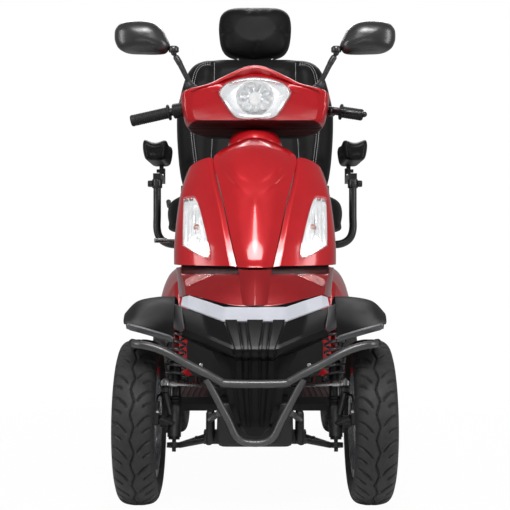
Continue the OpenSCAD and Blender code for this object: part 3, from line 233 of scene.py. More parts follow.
room = bpy.data.worlds.new("white_room")
room.use_nodes = True
scene.world = room
tree = room.node_tree
dim = tree.nodes["Background"]
dim.inputs["Color"].default_value = (0.95, 0.97, 1.0, 1)
dim.inputs["Strength"].default_value = 0.12
seen = node(tree, "Background", {"Color": (1, 1, 1, 1), "Strength": 1.0})
rays = node(tree, "LightPath")
direct = node(tree, "Math", operation="MAXIMUM")
mirrored = node(tree, "Math", {1: 0.18}, operation="MULTIPLY")
through = node(tree, "Math", operation="MAXIMUM")
pick = node(tree, "MixShader")
wire(tree, (rays, "Is Camera Ray", direct, 0), (rays, "Is Transmission Ray", direct, 1), (direct, 0, through, 0),
     (rays, "Is Glossy Ray", mirrored, 0), (mirrored, 0, through, 1), (through, 0, pick, "Fac"),
     (dim, 0, pick, 1), (seen, 0, pick, 2), (pick, 0, tree.nodes["World Output"], "Surface"))

for name, place, aim, width, height, power, shape in (
        ("lamp_front", (0.0, -3.3, 3.6), (0, -0.4, 0.7), 2.7, 1.0, 98, "ELLIPSE"),
        ("lamp_ridge", (0.0, -2.66, 3.63), (0, -0.6, 0.68), 0.8, 1.1, 26, "ELLIPSE"),
        ("lamp_left", (-2.9, -1.7, 1.5), (0, -0.2, 0.7), 0.6, 2.4, 30, "RECTANGLE"),
        ("lamp_right", (2.9, -1.7, 1.5), (0, -0.2, 0.7), 0.6, 2.4, 34, "RECTANGLE"),
        ("lamp_low", (0.0, -3.6, 0.5), (0, -0.4, 0.5), 1.8, 0.4, 5, "RECTANGLE"),
        ("lamp_behind", (0.0, 1.9, 3.0), (0, 0.1, 0.7), 2.6, 1.2, 50, "RECTANGLE")):
    lamp = bpy.data.lights.new(name, "AREA")
    lamp.shape = shape
    lamp.size, lamp.size_y, lamp.energy = width, height, power
    box = bpy.data.objects.new(name, lamp)
    box.location = place
    box.rotation_euler = (Vector(aim) - Vector(place)).to_track_quat("-Z", "Y").to_euler()
    scene.collection.objects.link(box)

# Frame: welded square tube and plate, powder-coated red, with the head tube, strut
# towers and seat socket welded on; batteries and controller sit in it under the seat.


def dress(name, mat):
    """Gives a CAD node its finish."""
    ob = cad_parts[name]
    ob.data.materials.clear()
    ob.data.materials.append(mat)
    return ob


def fit(ob, body, slot, mat, *stands_for):
    """Puts a finished piece on its body, in place of the CAD nodes it stands for."""
    ob.data.materials.append(mat)
    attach(ob, body)
    if stands_for:
        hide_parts(*stands_for)
    return ob


frame_paint = finish("frame_paint", (0.30, 0.010, 0.012), 0.36, vary=0.14, grain=0.2, grain_size=500, coat=0.4,
                     coat_rough=0.2)
under_black = finish("frame_black", (0.012, 0.012, 0.013), 0.42, vary=0.2, grain=0.15, grain_size=600)
steelwork = dress("chassis_frame", frame_paint)
steelwork.data.materials.append(under_black)
for face in steelwork.data.polygons:
    face.material_index = 1 if face.center[2] < 0.345 else 0
cell_case = finish("cell_case", (0.022, 0.022, 0.024), 0.55, vary=0.25, grain=0.25, grain_size=600)
dress("battery_pack", cell_case)


def turned_of(profile, centre, axis, steps=48):
    """A turned shape: profile points are (along the axis, radius), both ends closed."""
    axis = np.asarray(axis, float) / np.linalg.norm(axis)
    u = np.cross(axis, [0, 0, 1] if abs(axis[2]) < 0.9 else [1, 0, 0])
    u /= np.linalg.norm(u)
    v = np.cross(axis, u)
    a = np.arange(steps) * 2 * math.pi / steps
    ring = np.cos(a)[:, None] * u + np.sin(a)[:, None] * v
    return loft_of([np.asarray(centre, float) + axis * s + max(r, 0.01) * ring for s, r in profile])


def hex_bolt(centre, axis, size):
    """A hexagon head on its washer, its foot at centre."""
    k = size
    head = turned_of([(0.16 * k, 0.86 * k), (0.2 * k, k), (0.62 * k, k), (0.7 * k, 0.86 * k)], centre, axis, 6)
    return [head, turned_of([(0, 1.2 * k), (0.14 * k, 1.25 * k), (0.2 * k, 1.2 * k)], centre, axis, 20)]


zinc = finish("zinc_plate", (0.56, 0.56, 0.55), 0.28, metal=1.0, vary=0.12, grain=0.08)
tower_bolts = []
for side in (1, -1):
    for dx in (-14, 14):
        tower_bolts += hex_bolt([side * (KINGPIN + dx), FRONT_AXLE + 54 + 20, 439.4 + 3], [0, 0, 1], 5)
    tower_bolts += hex_bolt([side * 130, FRONT_AXLE - 64, 350], [0, -1, 0], 5)
fit(piece("tower_bolts", *tower_bolts, smooth=30), "frame", "bright_steel", zinc)

# Undertray: a black moulded tub behind the V of the front bar, two mounting posts beside it and a
# splash guard on each side. They are screwed to the cross members and keep road dirt off the steering.
tray_plastic = finish("tray_plastic", (0.010, 0.010, 0.011), 0.5, vary=0.2, grain=0.3, grain_size=700)


def round_rect(width, depth, n, power):
    """A rectangle with rounded corners, rounder as power nears 1."""
    a = np.linspace(0, 2 * math.pi, n + 1)[:-1]
    c, s = np.cos(a), np.sin(a)
    return np.stack([np.sign(c) * np.abs(c) ** power * width / 2, np.sign(s) * np.abs(s) ** power * depth / 2], -1)


def level_ring(flat, z, x=0.0, y=0.0):
    """A flat outline moved by x and y, at height z."""
    return np.stack([flat[:, 0] + x, flat[:, 1] + y, np.full(len(flat), float(z))], -1)


def other_side(shape):
    return np.asarray(shape[0], float) * [-1, 1, 1], shape[1]


def pair(*shapes):
    """Shapes of one side and their mirror images."""
    return [*shapes, *[other_side(q) for q in shapes]]


tub = loft_of([level_ring(round_rect(w, d, 48, 0.22), z, 0, y) for w, d, z, y in
               ((170, 24, 264, -640), (178, 30, 260, -640), (182, 40, 200, -636), (180, 60, 172, -628),
                (172, 66, 164, -622), (160, 60, 161, -620))])
post = loft_of([level_ring(round_rect(w, d, 32, 0.45), z, 108, y) for w, d, z, y in
                ((14, 50, 240, -598), (20, 60, 234, -596), (21, 66, 200, -592), (21, 68, 172, -590),
                 (16, 60, 163, -590))])
guard_out = ((60, 318), (150, 322), (164, 340), (166, 400), (158, 424), (60, 424))
guard = loft_of([[[x, y + 0.10 * (x - 60), z] for x, z in guard_out] for y in (-604, -600)])
fit(piece("undertray", tub, *pair(post), smooth=45), "frame", "satin_black", tray_plastic)
fit(piece("splash_guards", *pair(guard), smooth=30), "frame", "satin_black", tray_plastic)

# Front suspension: a black telescopic strut on each side, a cast knuckle that turns on
# it, a pressed lower arm below and a zinc tie rod with ball ends from the steering plate.
strut_black = finish("strut_black", (0.014, 0.014, 0.015), 0.3, vary=0.2, grain=0.1, coat=0.3)
cast_grey = finish("cast_grey", (0.07, 0.07, 0.072), 0.42, metal=0.7, vary=0.2, patch=90, grain=0.45, grain_size=420)
boot_rubber = finish("boot_rubber", (0.011, 0.011, 0.011), 0.5, vary=0.2, grain=0.3)
PIN_S = 70 + 72 * math.sin(RAKE)
for side, word in SIDES:
    dress("strut_" + word, strut_black)
    dress("lower_arm_" + word, strut_black)
    dress("knuckle_" + word, cast_grey)
    dress("tie_rod_" + word, zinc)
    middle = at_kingpin([0, 0, 0], side)
    up = at_kingpin([0, 0, 1], side) - middle
    nuts = hex_bolt(at_kingpin([20, -55, PIN_S + 6.4], side), up, 7)
    nuts += hex_bolt(at_kingpin([52, -63, 38], side), up, 4)
    nuts.append(turned_of([(0, 3.2), (3, 5), (7, 5), (9, 3.4), (15, 3.2), (16, 4.6), (21, 4.6), (23, 3)],
                          at_kingpin([41, -63, 24], side), at_kingpin([-6, -20, -9], side) - middle, 16))
    fit(piece("knuckle_nuts_" + word, *nuts, smooth=30), "knuckle_" + word[0], "bright_steel", zinc)
    boot = turned_of([(-13, 8.6), (-11, 11), (-9, 8.8), (-7, 10.4), (-6.2, 8)],
                     at_kingpin([20, -55, PIN_S], side), up, 28)
    fit(piece("joint_boot_" + word, boot), "knuckle_" + word[0], "grip_rubber", boot_rubber)
    gaiter = turned_of([(38.5, 15.6), (42, 19), (46, 16), (50, 19), (54, 16), (58, 18.4), (62, 15.6)], middle, up, 36)
    fit(piece("strut_gaiter_" + word, gaiter), "strut_" + word[0], "grip_rubber", boot_rubber)

# Front springs: six turns of round wire, grey enamelled, standing on the strut's seat
# and held by the tower above.


def coil_line(radius, low, high, turns, per=22):
    """The middle line of a coil spring, per points in each turn."""
    t = np.linspace(0, 1, turns * per + 1)
    return np.stack([radius * np.cos(2 * math.pi * turns * t), radius * np.sin(2 * math.pi * turns * t),
                     low + (high - low) * t], -1)


spring_enamel = finish("spring_enamel", (0.16, 0.16, 0.165), 0.3, metal=0.3, vary=0.15, grain=0.1, coat=0.4)
for side, word in SIDES:
    coil = at_kingpin(coil_line(23, 103.8, 221.2, 6), side)
    spring = piece("front_spring_" + word + "_coil", sweep_of(coil, 3.5, 10))
    spring.data.materials.append(spring_enamel)
    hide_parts("front_spring_" + word)
    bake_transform(spring)

# Tyres: black road tyres with a wavy middle groove and slanted side grooves, on
# silver alloy wheels with five spokes; the front wheels carry a drilled brake disc.


def tyre_of(width, centre):
    """A tyre around the x axis with its grooves cut in, and the bead that sits in the rim."""
    h = width / 2
    crown = [(139, -36.4), (146, -h + 7), (165, -h), (185, -h + 3), (197, -h + 14), (202.2, -h + 33), (203, 0),
             (202.2, h - 33), (197, h - 14), (185, h - 3), (165, h), (146, h - 7), (139, 36.4)]
    outer = line_through(crown, 5)
    gaps = np.concatenate([[0], np.cumsum(np.linalg.norm(np.diff(outer, axis=0), axis=1))])
    even = np.linspace(0, gaps[-1], 84)
    outer = np.stack([np.interp(even, gaps, outer[:, 0]), np.interp(even, gaps, outer[:, 1])], -1)
    inner = np.array([[127.4, 36.4], [127.4, 26], [140, 30], [140, -30], [127.4, -26], [127.4, -36.4]])
    steps, blocks = 504, 42
    turn = np.arange(steps) * 2 * math.pi / steps
    radius = np.broadcast_to(outer[:, 0], (steps, len(outer))).copy()
    across = np.broadcast_to(outer[:, 1], (steps, len(outer)))
    a = turn[:, None]
    middle = 4.5 * np.arcsin(np.sin(blocks / 2 * a)) * 2 / math.pi
    cut = np.clip(1 - np.abs(across - middle) / 2.8, 0, 1) ** 0.5 * 5.0
    for s in (-1, 1):
        reach = s * across
        u = np.clip(1 - (reach - 10) / (h - 10), 0, 1)
        sweep = (a - 0.15 * u ** 2 + (0.075 if s > 0 else 0)) * blocks / (2 * math.pi)
        off = np.abs(sweep - np.round(sweep)) * 2 * math.pi / blocks * 200 / np.sqrt(1 + (60 * u / (h - 10)) ** 2)
        groove = np.clip(1 - off / 2.9, 0, 1) ** 0.5 * 5.0
        band = np.clip((reach - 10) / 3, 0, 1) * np.clip((h + 1 - reach) / 4, 0, 1)
        short = np.clip((reach - 23) / 3, 0, 1) * np.clip((h + 1 - reach) / 4, 0, 1)
        odd = np.round(sweep).astype(int) % 2 == 0
        cut = np.maximum(cut, groove * np.where(odd, band, short))
    radius -= cut * np.clip((radius - 184) / 6, 0, 1)
    rib = np.exp(-((outer[:, 0] - 158) / 1.6) ** 2) + np.exp(-((outer[:, 0] - 172) / 1.6) ** 2)
    across = across + np.sign(outer[:, 1]) * rib * 0.8
    radius = np.concatenate([radius, np.broadcast_to(inner[:, 0], (steps, 6))], 1)
    across = np.concatenate([across, np.broadcast_to(inner[:, 1], (steps, 6))], 1)
    k = radius.shape[1]
    verts = np.stack([centre[0] + across, centre[1] + radius * np.cos(a), centre[2] + radius * np.sin(a)], -1)
    i, j = np.meshgrid(np.arange(steps), np.arange(k), indexing="ij")
    ring, side_on = (i + 1) % steps, (j + 1) % k
    faces = np.stack([i * k + j, ring * k + j, ring * k + side_on, i * k + side_on], -1).reshape(-1, 4)
    return verts.reshape(-1, 3), [tuple(int(x) for x in f) for f in faces]


tyre_black = finish("tyre_black", (0.017, 0.017, 0.018), 0.62, vary=0.3, patch=60, grain=0.4, grain_size=650)
alloy = finish("wheel_alloy", (0.50, 0.51, 0.52), 0.25, metal=0.9, vary=0.08, grain=0.1, coat=0.4)
REAR_AXLE = 550.0
for word, short, x, y, width in (("front", "f", 284, FRONT_AXLE, 100), ("rear", "r", 288, REAR_AXLE, 110)):
    for side, hand in SIDES:
        wheel, hub, out = "wheel_" + short + hand[0], [side * x, y, AXLE_Z], [side, 0, 0]
        tyre = piece(word + "_tyre_" + hand + "_tread", tyre_of(width, hub), smooth=28)
        fit(tyre, wheel, "tyre_rubber", tyre_black, word + "_tyre_" + hand)
        dress(word + "_rim_" + hand, alloy)
        cap = turned_of([(30, 29.5), (35, 29.5), (38.5, 27), (41, 20), (42, 8), (42, 0)], hub, out, 40)
        plate = turned_of([(20, 56), (26, 54), (27, 30)], hub, out, 40)
        nuts = []
        for a in (np.arange(5) + 0.5) * 2 * math.pi / 5:
            nuts += hex_bolt([side * (x + 26), y + 42 * math.cos(a), AXLE_Z + 42 * math.sin(a)], out, 6)
        fit(piece(word + "_hub_" + hand + "_cap", cap, plate, *nuts, smooth=30), wheel, "wheel_alloy", alloy)
        stem = turned_of([(0, 3), (14, 2.6), (15, 3.4), (24, 3.4), (25, 2)], [side * (x + 36), y, AXLE_Z + 114],
                         [side * 0.8, 0, -0.6], 14)
        fit(piece(word + "_valve_" + hand, stem), wheel, "tyre_rubber", boot_rubber)

# Nose skin: moulded panels in gloss red lacquer over the front of the frame, clipped and
# screwed to the tower from inside. Each is a smooth sheet about 3 mm thick.


def sheet_through(rows, up, across):
    """A smooth grid through rows of points, with steps up and across."""
    rows = [line_through(r, across) for r in rows]
    return np.stack([line_through([r[c] for r in rows], up) for c in range(len(rows[0]))], 1)


def whole(row):
    """A row from edge to edge, from its left half that starts in the middle."""
    return [[-p[0], p[1], p[2]] for p in row[:0:-1]] + list(row)


def outward_of(grid, hint):
    """The grid's normals, on the side that hint points to."""
    n = np.cross(np.gradient(grid, axis=1), np.gradient(grid, axis=0))
    n /= np.maximum(np.linalg.norm(n, axis=2), 1e-9)[..., None]
    return n if (n @ np.asarray(hint, float)).mean() > 0 else -n


def skin_of(grid, wall, hint):
    """A closed sheet: the grid is its outer face, and wall is its thickness."""
    g = np.asarray(grid, float)
    r, c = g.shape[:2]
    inner = g - wall * outward_of(g, hint)
    verts = np.concatenate([g.reshape(-1, 3), inner.reshape(-1, 3)])
    o = r * c
    faces = []
    for i in range(r - 1):
        for j in range(c - 1):
            k = i * c + j
            faces += [(k, k + 1, k + c + 1, k + c), (o + k, o + k + c, o + k + c + 1, o + k + 1)]
    rim = [(j, j + 1) for j in range(c - 1)] + [(q * c + c - 1, (q + 1) * c + c - 1) for q in range(r - 1)]
    rim += [((r - 1) * c + j + 1, (r - 1) * c + j) for j in range(c - 1)] + [((q + 1) * c, q * c) for q in range(r - 1)]
    faces += [(a, b, o + b, o + a) for a, b in rim]
    return verts, faces


def soft_edges(ob, width=0.8, angle=50):
    """Rounds the edges that fold by more than angle degrees."""
    mod = ob.modifiers.new("edge_round", "BEVEL")
    mod.width = width * 0.001
    mod.segments = 2
    mod.limit_method = "ANGLE"
    mod.angle_limit = math.radians(angle)
    return ob


def rise(t):
    """A soft step from 0 to 1."""
    t = np.clip(t, 0, 1)
    return t * t * (3 - 2 * t)


lacquer = finish("red_lacquer", (0.50, 0.008, 0.013), 0.34, metal=0.2, vary=0.06, patch=12, grain=0.02,
                 grain_size=2500, coat=1.0, coat_rough=0.11, shine=0.1)
centre_rows = [
    [[0, -648, 586], [20, -646, 586], [42, -638, 587]],
    [[0, -622, 645], [30, -619, 645], [56, -610, 646]],
    [[0, -574, 734], [40, -569, 734], [75, -556, 734]],
    [[0, -536, 796], [48, -530, 796], [91, -514, 796]],
    [[0, -484, 866], [56, -478, 864], [106, -462, 858]],
    [[0, -448, 900], [50, -443, 895], [90, -432, 884]],
    [[0, -396, 922], [38, -393, 914], [68, -388, 900]],
    [[0, -352, 926], [26, -351, 918], [46, -350, 906]]]
centre = sheet_through([whole(r) for r in centre_rows], 16, 14)
n = outward_of(centre, [0, -1, 0.3])
x, z = np.abs(centre[..., 0]), centre[..., 2]
edge = x / np.maximum(np.abs(centre[:, -1:, 0]), 1)
upper_fold = 794 + 46 * (x / 76) ** 1.9
lower_fold = 754 + 58 * (x / 72) ** 1.35
fade = (1 - rise((edge - 0.66) / 0.26)) * rise((x - 4) / 52) * (1 - rise((z - 836) / 70))
proud = 2.6 * fade * (rise((z - upper_fold) / 6) + rise((z - lower_fold) / 6))
proud += 1.7 * np.exp(-(x / np.interp(z, [590, 750], [34, 12])) ** 2) * rise((775 - z) / 40) * rise((z - 588) / 16)
centre = centre + n * proud[..., None]
fit(soft_edges(piece("fairing_centre_skin", skin_of(centre, 3, [0, -1, 0.3]), smooth=50)), "frame", "gloss_red",
    lacquer, "fairing_centre")

side_rows = [
    [[46, -638, 590], [100, -614, 590], [160, -578, 591], [198, -530, 592], [205, -440, 594], [203, -330, 596]],
    [[60, -608, 648], [106, -588, 647], [163, -556, 645], [199, -512, 643], [205, -430, 642], [203, -318, 641]],
    [[79, -554, 736], [118, -538, 733], [164, -512, 728], [194, -476, 722], [201, -406, 716], [200, -300, 710]],
    [[95, -512, 798], [126, -500, 796], [162, -478, 791], [185, -450, 785], [193, -390, 777], [192, -290, 768]],
    [[110, -460, 866], [130, -452, 862], [152, -438, 854], [169, -420, 842], [180, -372, 828], [181, -282, 815]]]
flank = sheet_through(side_rows, 22, 16)
n = outward_of(flank, [0.6, -1, 0.2])
spans = np.linalg.norm(np.diff(flank, axis=1), axis=2)
along = np.concatenate([np.zeros((len(flank), 1)), np.cumsum(spans, 1)], 1)
strip_w = np.interp(flank[:, :1, 2], [590, 860], [16, 7])
flank = flank - n * (6.0 * np.clip(1 - along / strip_w, 0, 1))[..., None]
left = skin_of(flank, 3, [0.6, -1, 0.2])
fit(soft_edges(piece("fairing_flanks", *pair(left), smooth=50)), "frame", "gloss_red", lacquer, "fairing_sides")

chin_rows = [
    [[0, -709, 497.6], [42, -708, 498.6], [78, -700, 504.6], [122, -681, 515], [164, -651, 522]],
    [[0, -706, 502], [42, -705, 503], [78, -697, 509], [122, -678, 519], [165, -646, 526]],
    [[0, -690, 524], [42, -688, 526], [80, -680, 530], [124, -660, 537], [168, -626, 542]],
    [[0, -664, 556], [42, -660, 558], [84, -648, 560], [130, -628, 563], [176, -590, 566]],
    [[0, -636, 580], [42, -628, 582], [88, -614, 583], [136, -592, 585], [184, -548, 586]]]
chin = sheet_through([whole(r) for r in chin_rows], 10, 10)
chin[..., 1] += 15 * rise((chin[..., 2] - 566) / 15)
cheek_rows = [
    [[164.5, -650, 521], [176, -618, 516], [186, -560, 511], [192, -470, 507]],
    [[168.5, -626, 541.5], [179, -596, 538], [189, -545, 535], [194, -460, 532]],
    [[176.5, -590, 565.5], [186, -566, 563], [194, -520, 561], [197, -440, 560]],
    [[184.5, -548, 585.5], [192, -530, 584], [198, -500, 584], [200, -430, 584]]]
cheek = skin_of(sheet_through(cheek_rows, 8, 8), 3, [1, -0.4, 0])
# The chin and the nose block get a darker copy of the red lacquer. This is painted shade for the chin lying back under
# the fairing, not a paint of its own.
chin_shaded_red = finish("chin_shaded_lacquer", (0.27, 0.004, 0.007), 0.36, metal=0.2, vary=0.06, patch=12, grain=0.02,
                  grain_size=2500, coat=1.0, coat_rough=0.11, shine=0.1)
chin_piece = piece("chin_skin", skin_of(chin, 3, [0, -1, 0.6]), *pair(cheek), smooth=50)
fit(soft_edges(chin_piece), "frame", "gloss_red", chin_shaded_red, "chin_panel")
# The chin's top faces under the fairing's lower edge get a near-black shaded red: painted shade for the recess there.
painted_shade_red = finish("shaded_red", (0.045, 0.002, 0.003), 0.5, vary=0.15, patch=14, grain=0.06, grain_size=1200,
                  shine=0.2)
chin_piece.data.materials.append(painted_shade_red)
for face in chin_piece.data.polygons:
    if face.center[2] > 0.570 and abs(face.center[0]) < 0.182:
        face.material_index = 1
# Nose block: drawn in the chin's darker lacquer, a painted shade.
nose_rows = [
    [[0, -712, 500], [18, -711, 500], [31, -706, 501]],
    [[0, -695, 525], [20, -694, 525], [34, -688, 526]],
    [[0, -672, 557], [21, -670, 557], [37, -662, 558]],
    [[0, -651, 581], [22, -648, 581], [40, -638, 582]]]
beak = sheet_through([whole(r) for r in nose_rows], 8, 8)
beak = beak - np.array([0, 1, 0]) * (2.2 * np.clip(1 - np.abs(beak[..., 0]) / 20, 0, 1))[..., None]
fit(soft_edges(piece("nose_block", skin_of(beak, 3.5, [0, -1, 0.5]), smooth=50)), "frame", "gloss_red", chin_shaded_red)

# Bumper: one black moulded panel under the nose, folded along a crease and drawn down to a shield
# behind the front bar. Five ribs run down its middle, and it is bolted to the frame's front plate.
bumper_black = finish("bumper_plastic", (0.005, 0.005, 0.0055), 0.33, shine=0.22, vary=0.25, patch=9, grain=0.10)
FOCAL, MIDDLE = 1087.7, 255


def on_panel(px, py, y):
    """A point of the front view, in its pixels, at depth y, in mm."""
    depth = y + EYE_BACK
    return np.array([(px - MIDDLE) * depth / FOCAL, y, EYE_UP - (py - MIDDLE) * depth / FOCAL])


def straight(points, steps):
    """Evenly divided straight runs between points."""
    p = np.asarray(points, float)
    out = [p[k] + (p[k + 1] - p[k]) * i / steps for k in range(len(p) - 1) for i in range(steps)]
    return np.array(out + [p[-1]])


def folded(rows, across, along):
    """A whole panel from rows of its right half, in straight runs with crisp folds between them."""
    half = [straight([on_panel(2 * MIDDLE - a, b, c) for a, b, c in r], across) for r in rows]
    grid = np.stack([straight([r[k] for r in half], along) for k in range(len(half[0]))], 1)
    return np.concatenate([grid[:, :0:-1] * [-1, 1, 1], grid], 1)


brow = folded([[(255, 323, -717), (224, 322.5, -716), (202, 314.5, -694), (180, 307, -656)],
               [(255, 345.5, -733), (232, 345, -732), (209, 335, -710), (184.5, 325.5, -680)],
               [(255, 349.5, -738), (232, 349, -737), (209, 339, -715), (185, 329.3, -685)],
               [(255, 351.5, -736), (232.3, 351, -735), (208.7, 341, -713), (184.3, 331, -683)],
               [(255, 356.5, -729), (233, 356, -728), (208, 345, -706), (181.5, 335, -677)],
               [(255, 358, -724), (233.4, 357.4, -723), (208, 346.5, -701), (181.5, 336.4, -672)],
               [(255, 361, -704), (236, 360, -703), (209, 350, -688), (182, 338, -660)]], 8, 4)
shield = folded([[(255, 359, -708), (232, 358, -706), (212, 352, -694)],
                 [(255, 372, -706), (231, 371, -703), (222, 369, -694)],
                 [(255, 385, -705), (232, 385, -702), (225, 382, -692)],
                 [(255, 405, -703), (235, 405, -700), (229, 404, -690)],
                 [(255, 425, -698), (241, 425, -696), (236.5, 424, -688)],
                 [(255, 436.5, -692), (248, 435.5, -690), (243.5, 432.5, -684)]], 6, 5)
apron = piece("bumper_apron", skin_of(brow, 3, [0, -1, 0]), skin_of(shield, 3, [0, -1, 0]), smooth=28)
fit(soft_edges(apron, 1.2, 18), "frame", "satin_black", bumper_black, "bumper_panel")
ear_rows = [
    [[172.5, -682, 434.5], [184, -664, 438], [194, -630, 442], [198, -585, 446]],
    [[167, -689, 446.5], [184, -668, 454], [196, -632, 460], [200, -586, 464]],
    [[172.5, -667.5, 480.5], [184, -652, 484], [195, -624, 487], [199, -584, 489]],
    [[174.5, -659.5, 494.5], [185, -644, 497], [195, -618, 499], [199, -582, 501]]]
ear = skin_of(sheet_through(ear_rows, 8, 8), 3, [1, -0.6, 0])
ear_grey = finish("bumper_ear", (0.075, 0.075, 0.078), 0.38, vary=0.2, patch=10, grain=0.10)
fit(soft_edges(piece("bumper_ears", *pair(ear), smooth=38)), "frame", "satin_black", ear_grey)
# Ribs: the middle and the outer ones stand prouder, and all run from the trim down to the point.
levels = [(319.6, -716.5), (322, -718), (345.5, -733.5), (349.5, -739), (352, -738), (357, -728), (361, -708),
          (385, -706), (405, -704), (428, -698)]
ribs = []
for top, fold, mid, low, high in (
        ((225, 237), (235, 242), (236.5, 242), (242.5, 246), 6.5),
        ((238.6, 245.4), (243.2, 248.8), (243.5, 248.5), (247, 250.3), 2.5),
        ((247, 263), (251, 259), (251.2, 258.8), (252, 258), 7.5),
        ((264.6, 271.4), (261.2, 266.8), (261.5, 266.5), (259.7, 263), 2.5),
        ((273, 285), (268, 275), (268, 273.5), (264, 267.5), 6.5)):
    rings = []
    for k, (py, y) in enumerate(levels):
        if high < 5 and k == 0:
            py = 322.5
        a, b = [np.interp(py, [320, 349.5, 385, 430], [q[e] for q in (top, fold, mid, low)]) for e in (0, 1)]
        h = high * (0.15 if k == len(levels) - 1 else 1.0)
        c = min(0.8, (b - a) * 0.2)
        rings.append([on_panel(u, py, y - v) for u, v in
                      ((a, -2), (a, h * 0.75), (a + c, h), (b - c, h), (b, h * 0.75), (b, -2))])
    ribs.append(loft_of(rings))
fit(soft_edges(piece("bumper_ribs", *ribs, smooth=25), 0.7, 25), "frame", "satin_black", bumper_black)

# Trim strip: a flat silver moulding with two kinks on each side, in sprayed plastic. It is pushed into the
# gap between bumper and chin and held there by clips.
trim_silver = finish("trim_silver", (0.60, 0.61, 0.67), 0.5, metal=0.2, vary=0.05, patch=20, grain=0.03,
                     grain_size=1800, shine=0.3)
strip = folded([
    [(255, 322.2, -717), (224, 322, -716.5), (202, 314, -694), (187, 308.6, -669), (180.5, 306.2, -656)],
    [(255, 321, -718.5), (224, 320.8, -718), (202, 312.8, -695.5), (187, 307.4, -670.5), (180.7, 305.2, -657)],
    [(255, 308, -711), (224, 308, -710.5), (205, 301.6, -691), (189, 296.4, -665.5), (182.4, 297.8, -651)],
    [(255, 307, -708), (224, 307, -707.5), (205, 300.6, -688.5), (189, 295.4, -663), (182.6, 297, -649)]], 8, 4)
fit(soft_edges(piece("trim_moulding", skin_of(strip, 3, [0, -1, 0.2]), smooth=25), 0.8, 20), "frame", "trim_silver",
    trim_silver, "trim_strip")

# Front bar: steel tube bent across the nose with a V loop under it, painted gunmetal. Two short legs
# bolt it to the rail ends, and two stays reach back to the undertray's posts.
bar_paint = finish("bar_gunmetal", (0.10, 0.10, 0.102), 0.34, metal=0.6, vary=0.06, patch=14, grain=0.01,
                   grain_size=1500)
BAR_Y = -770.5
wing = [[59, 325], [80, 331], [112, 349], [150, 368], [190, 390], [222, 404], [250, 411]]
half = [[px, BAR_Y + max(0, px - 200) * 0.12, pz] for px, pz in wing]
half += [[266, BAR_Y + 13, 413], [277, BAR_Y + 24, 414]]
bow = [[-a, b, c] for a, b, c in half[::-1]] + half
loop = [[110, 344], [98, 322], [78, 284], [60, 250], [49, 226], [40, 212], [26, 203], [10, 199.5]]
vee = [[a, BAR_Y, b - 9] for a, b in loop]
vee += [[-a, b, c] for a, b, c in vee[::-1]]
leg = [[52, BAR_Y, 226], [52, -740, 222], [52, -700, 205], [52, -617, 190]]
stay = [[82, BAR_Y + 1, 258], [90, -735, 248], [100, -680, 234], [108, -618, 220]]
flange = turned_of([(-6, 0), (-6, 11), (-5, 12), (0, 12), (0, 0)], [52, -614, 190], [0, 1, 0], 24)
legs = pair(sweep_of(line_through(leg, 6), 6), sweep_of(line_through(stay, 6), 7), flange)
fit(piece("front_bar", sweep_of(line_through(bow, 8), 9.5, 20), sweep_of(line_through(vee, 6), 8, 18), *legs,
          smooth=50), "frame", "bar_grey", bar_paint, "bumper_bar")
cap = turned_of([(0, 0), (0, 10.4), (6, 10.6), (9, 9), (10, 5), (10, 0)], [277, BAR_Y + 24, 414], [0.71, 0.71, 0], 24)
fit(piece("front_bar_caps", *pair(cap)), "frame", "satin_black", boot_rubber)

# Front wings: black mouldings over the wheels, each with a grey lip along its front edge. They are screwed
# to the frame beside the strut towers and stay still as the wheels steer.


def block(x, y, z, along_x=False):
    """A plain box between two x, two y and two z values, lofted upward or along x."""
    if along_x:
        verts, faces = block(y, z, x)
        return verts[:, [2, 0, 1]], faces
    ring = np.array([[x[0], y[0], 0], [x[0], y[1], 0], [x[1], y[1], 0], [x[1], y[0], 0]], float)
    return loft_of([ring + [0, 0, h] for h in z])


wing_black = finish("wing_plastic", (0.007, 0.007, 0.0075), 0.45, vary=0.2, patch=10, grain=0.06, grain_size=1200,
                    shine=0.08)
fender_rows = [
    [[186, -728, 415], [222, -730, 426], [260, -730, 437], [296, -726, 446]],
    [[187, -732, 428], [222, -734, 439], [260, -734, 450], [297, -730, 459]],
    [[190, -690, 466], [230, -690, 468], [276, -688, 467], [308, -682, 458]],
    [[194, -600, 508], [238, -600, 508], [286, -598, 497], [317, -594, 470]],
    [[196, -530, 512], [240, -530, 511], [290, -528, 501], [319, -526, 474]],
    [[196, -440, 492], [240, -440, 490], [288, -440, 482], [316, -440, 462]],
    [[198, -360, 454], [240, -360, 454], [284, -362, 450], [310, -364, 440]]]
arch = sheet_through(fender_rows, 10, 10)
left = skin_of(arch, 3, [0.2, -0.3, 1])
foot = block((204, 236), (-497, -473), (440, 498))
fit(soft_edges(piece("wing_arches", *pair(left, foot), smooth=45)), "frame", "satin_black", wing_black,
    "front_fenders")
lip_line = (arch[0] + arch[10]) / 2
rings = []
for k, p in enumerate(lip_line):
    t = min(1, k / 3, (len(lip_line) - 1 - k) / 3)
    span = (arch[10][k] - arch[0][k]) * 0.62 * (0.6 + 0.4 * t)
    rings.append([p + span * u + np.array([0, -v * 7 * (0.4 + 0.6 * t), 0]) for u, v in
                  ((-1, -0.3), (-0.95, 0.55), (-0.6, 0.95), (0.6, 0.95), (0.95, 0.55), (1, -0.3), (0, -0.5))])
lip_grey = finish("wing_lip", (0.085, 0.086, 0.09), 0.38, vary=0.15, patch=12, grain=0.05, grain_size=1200, coat=0.3,
                  coat_rough=0.2)
fit(piece("wing_lips", *pair(loft_of(rings)), smooth=45), "frame", "bar_grey", lip_grey)

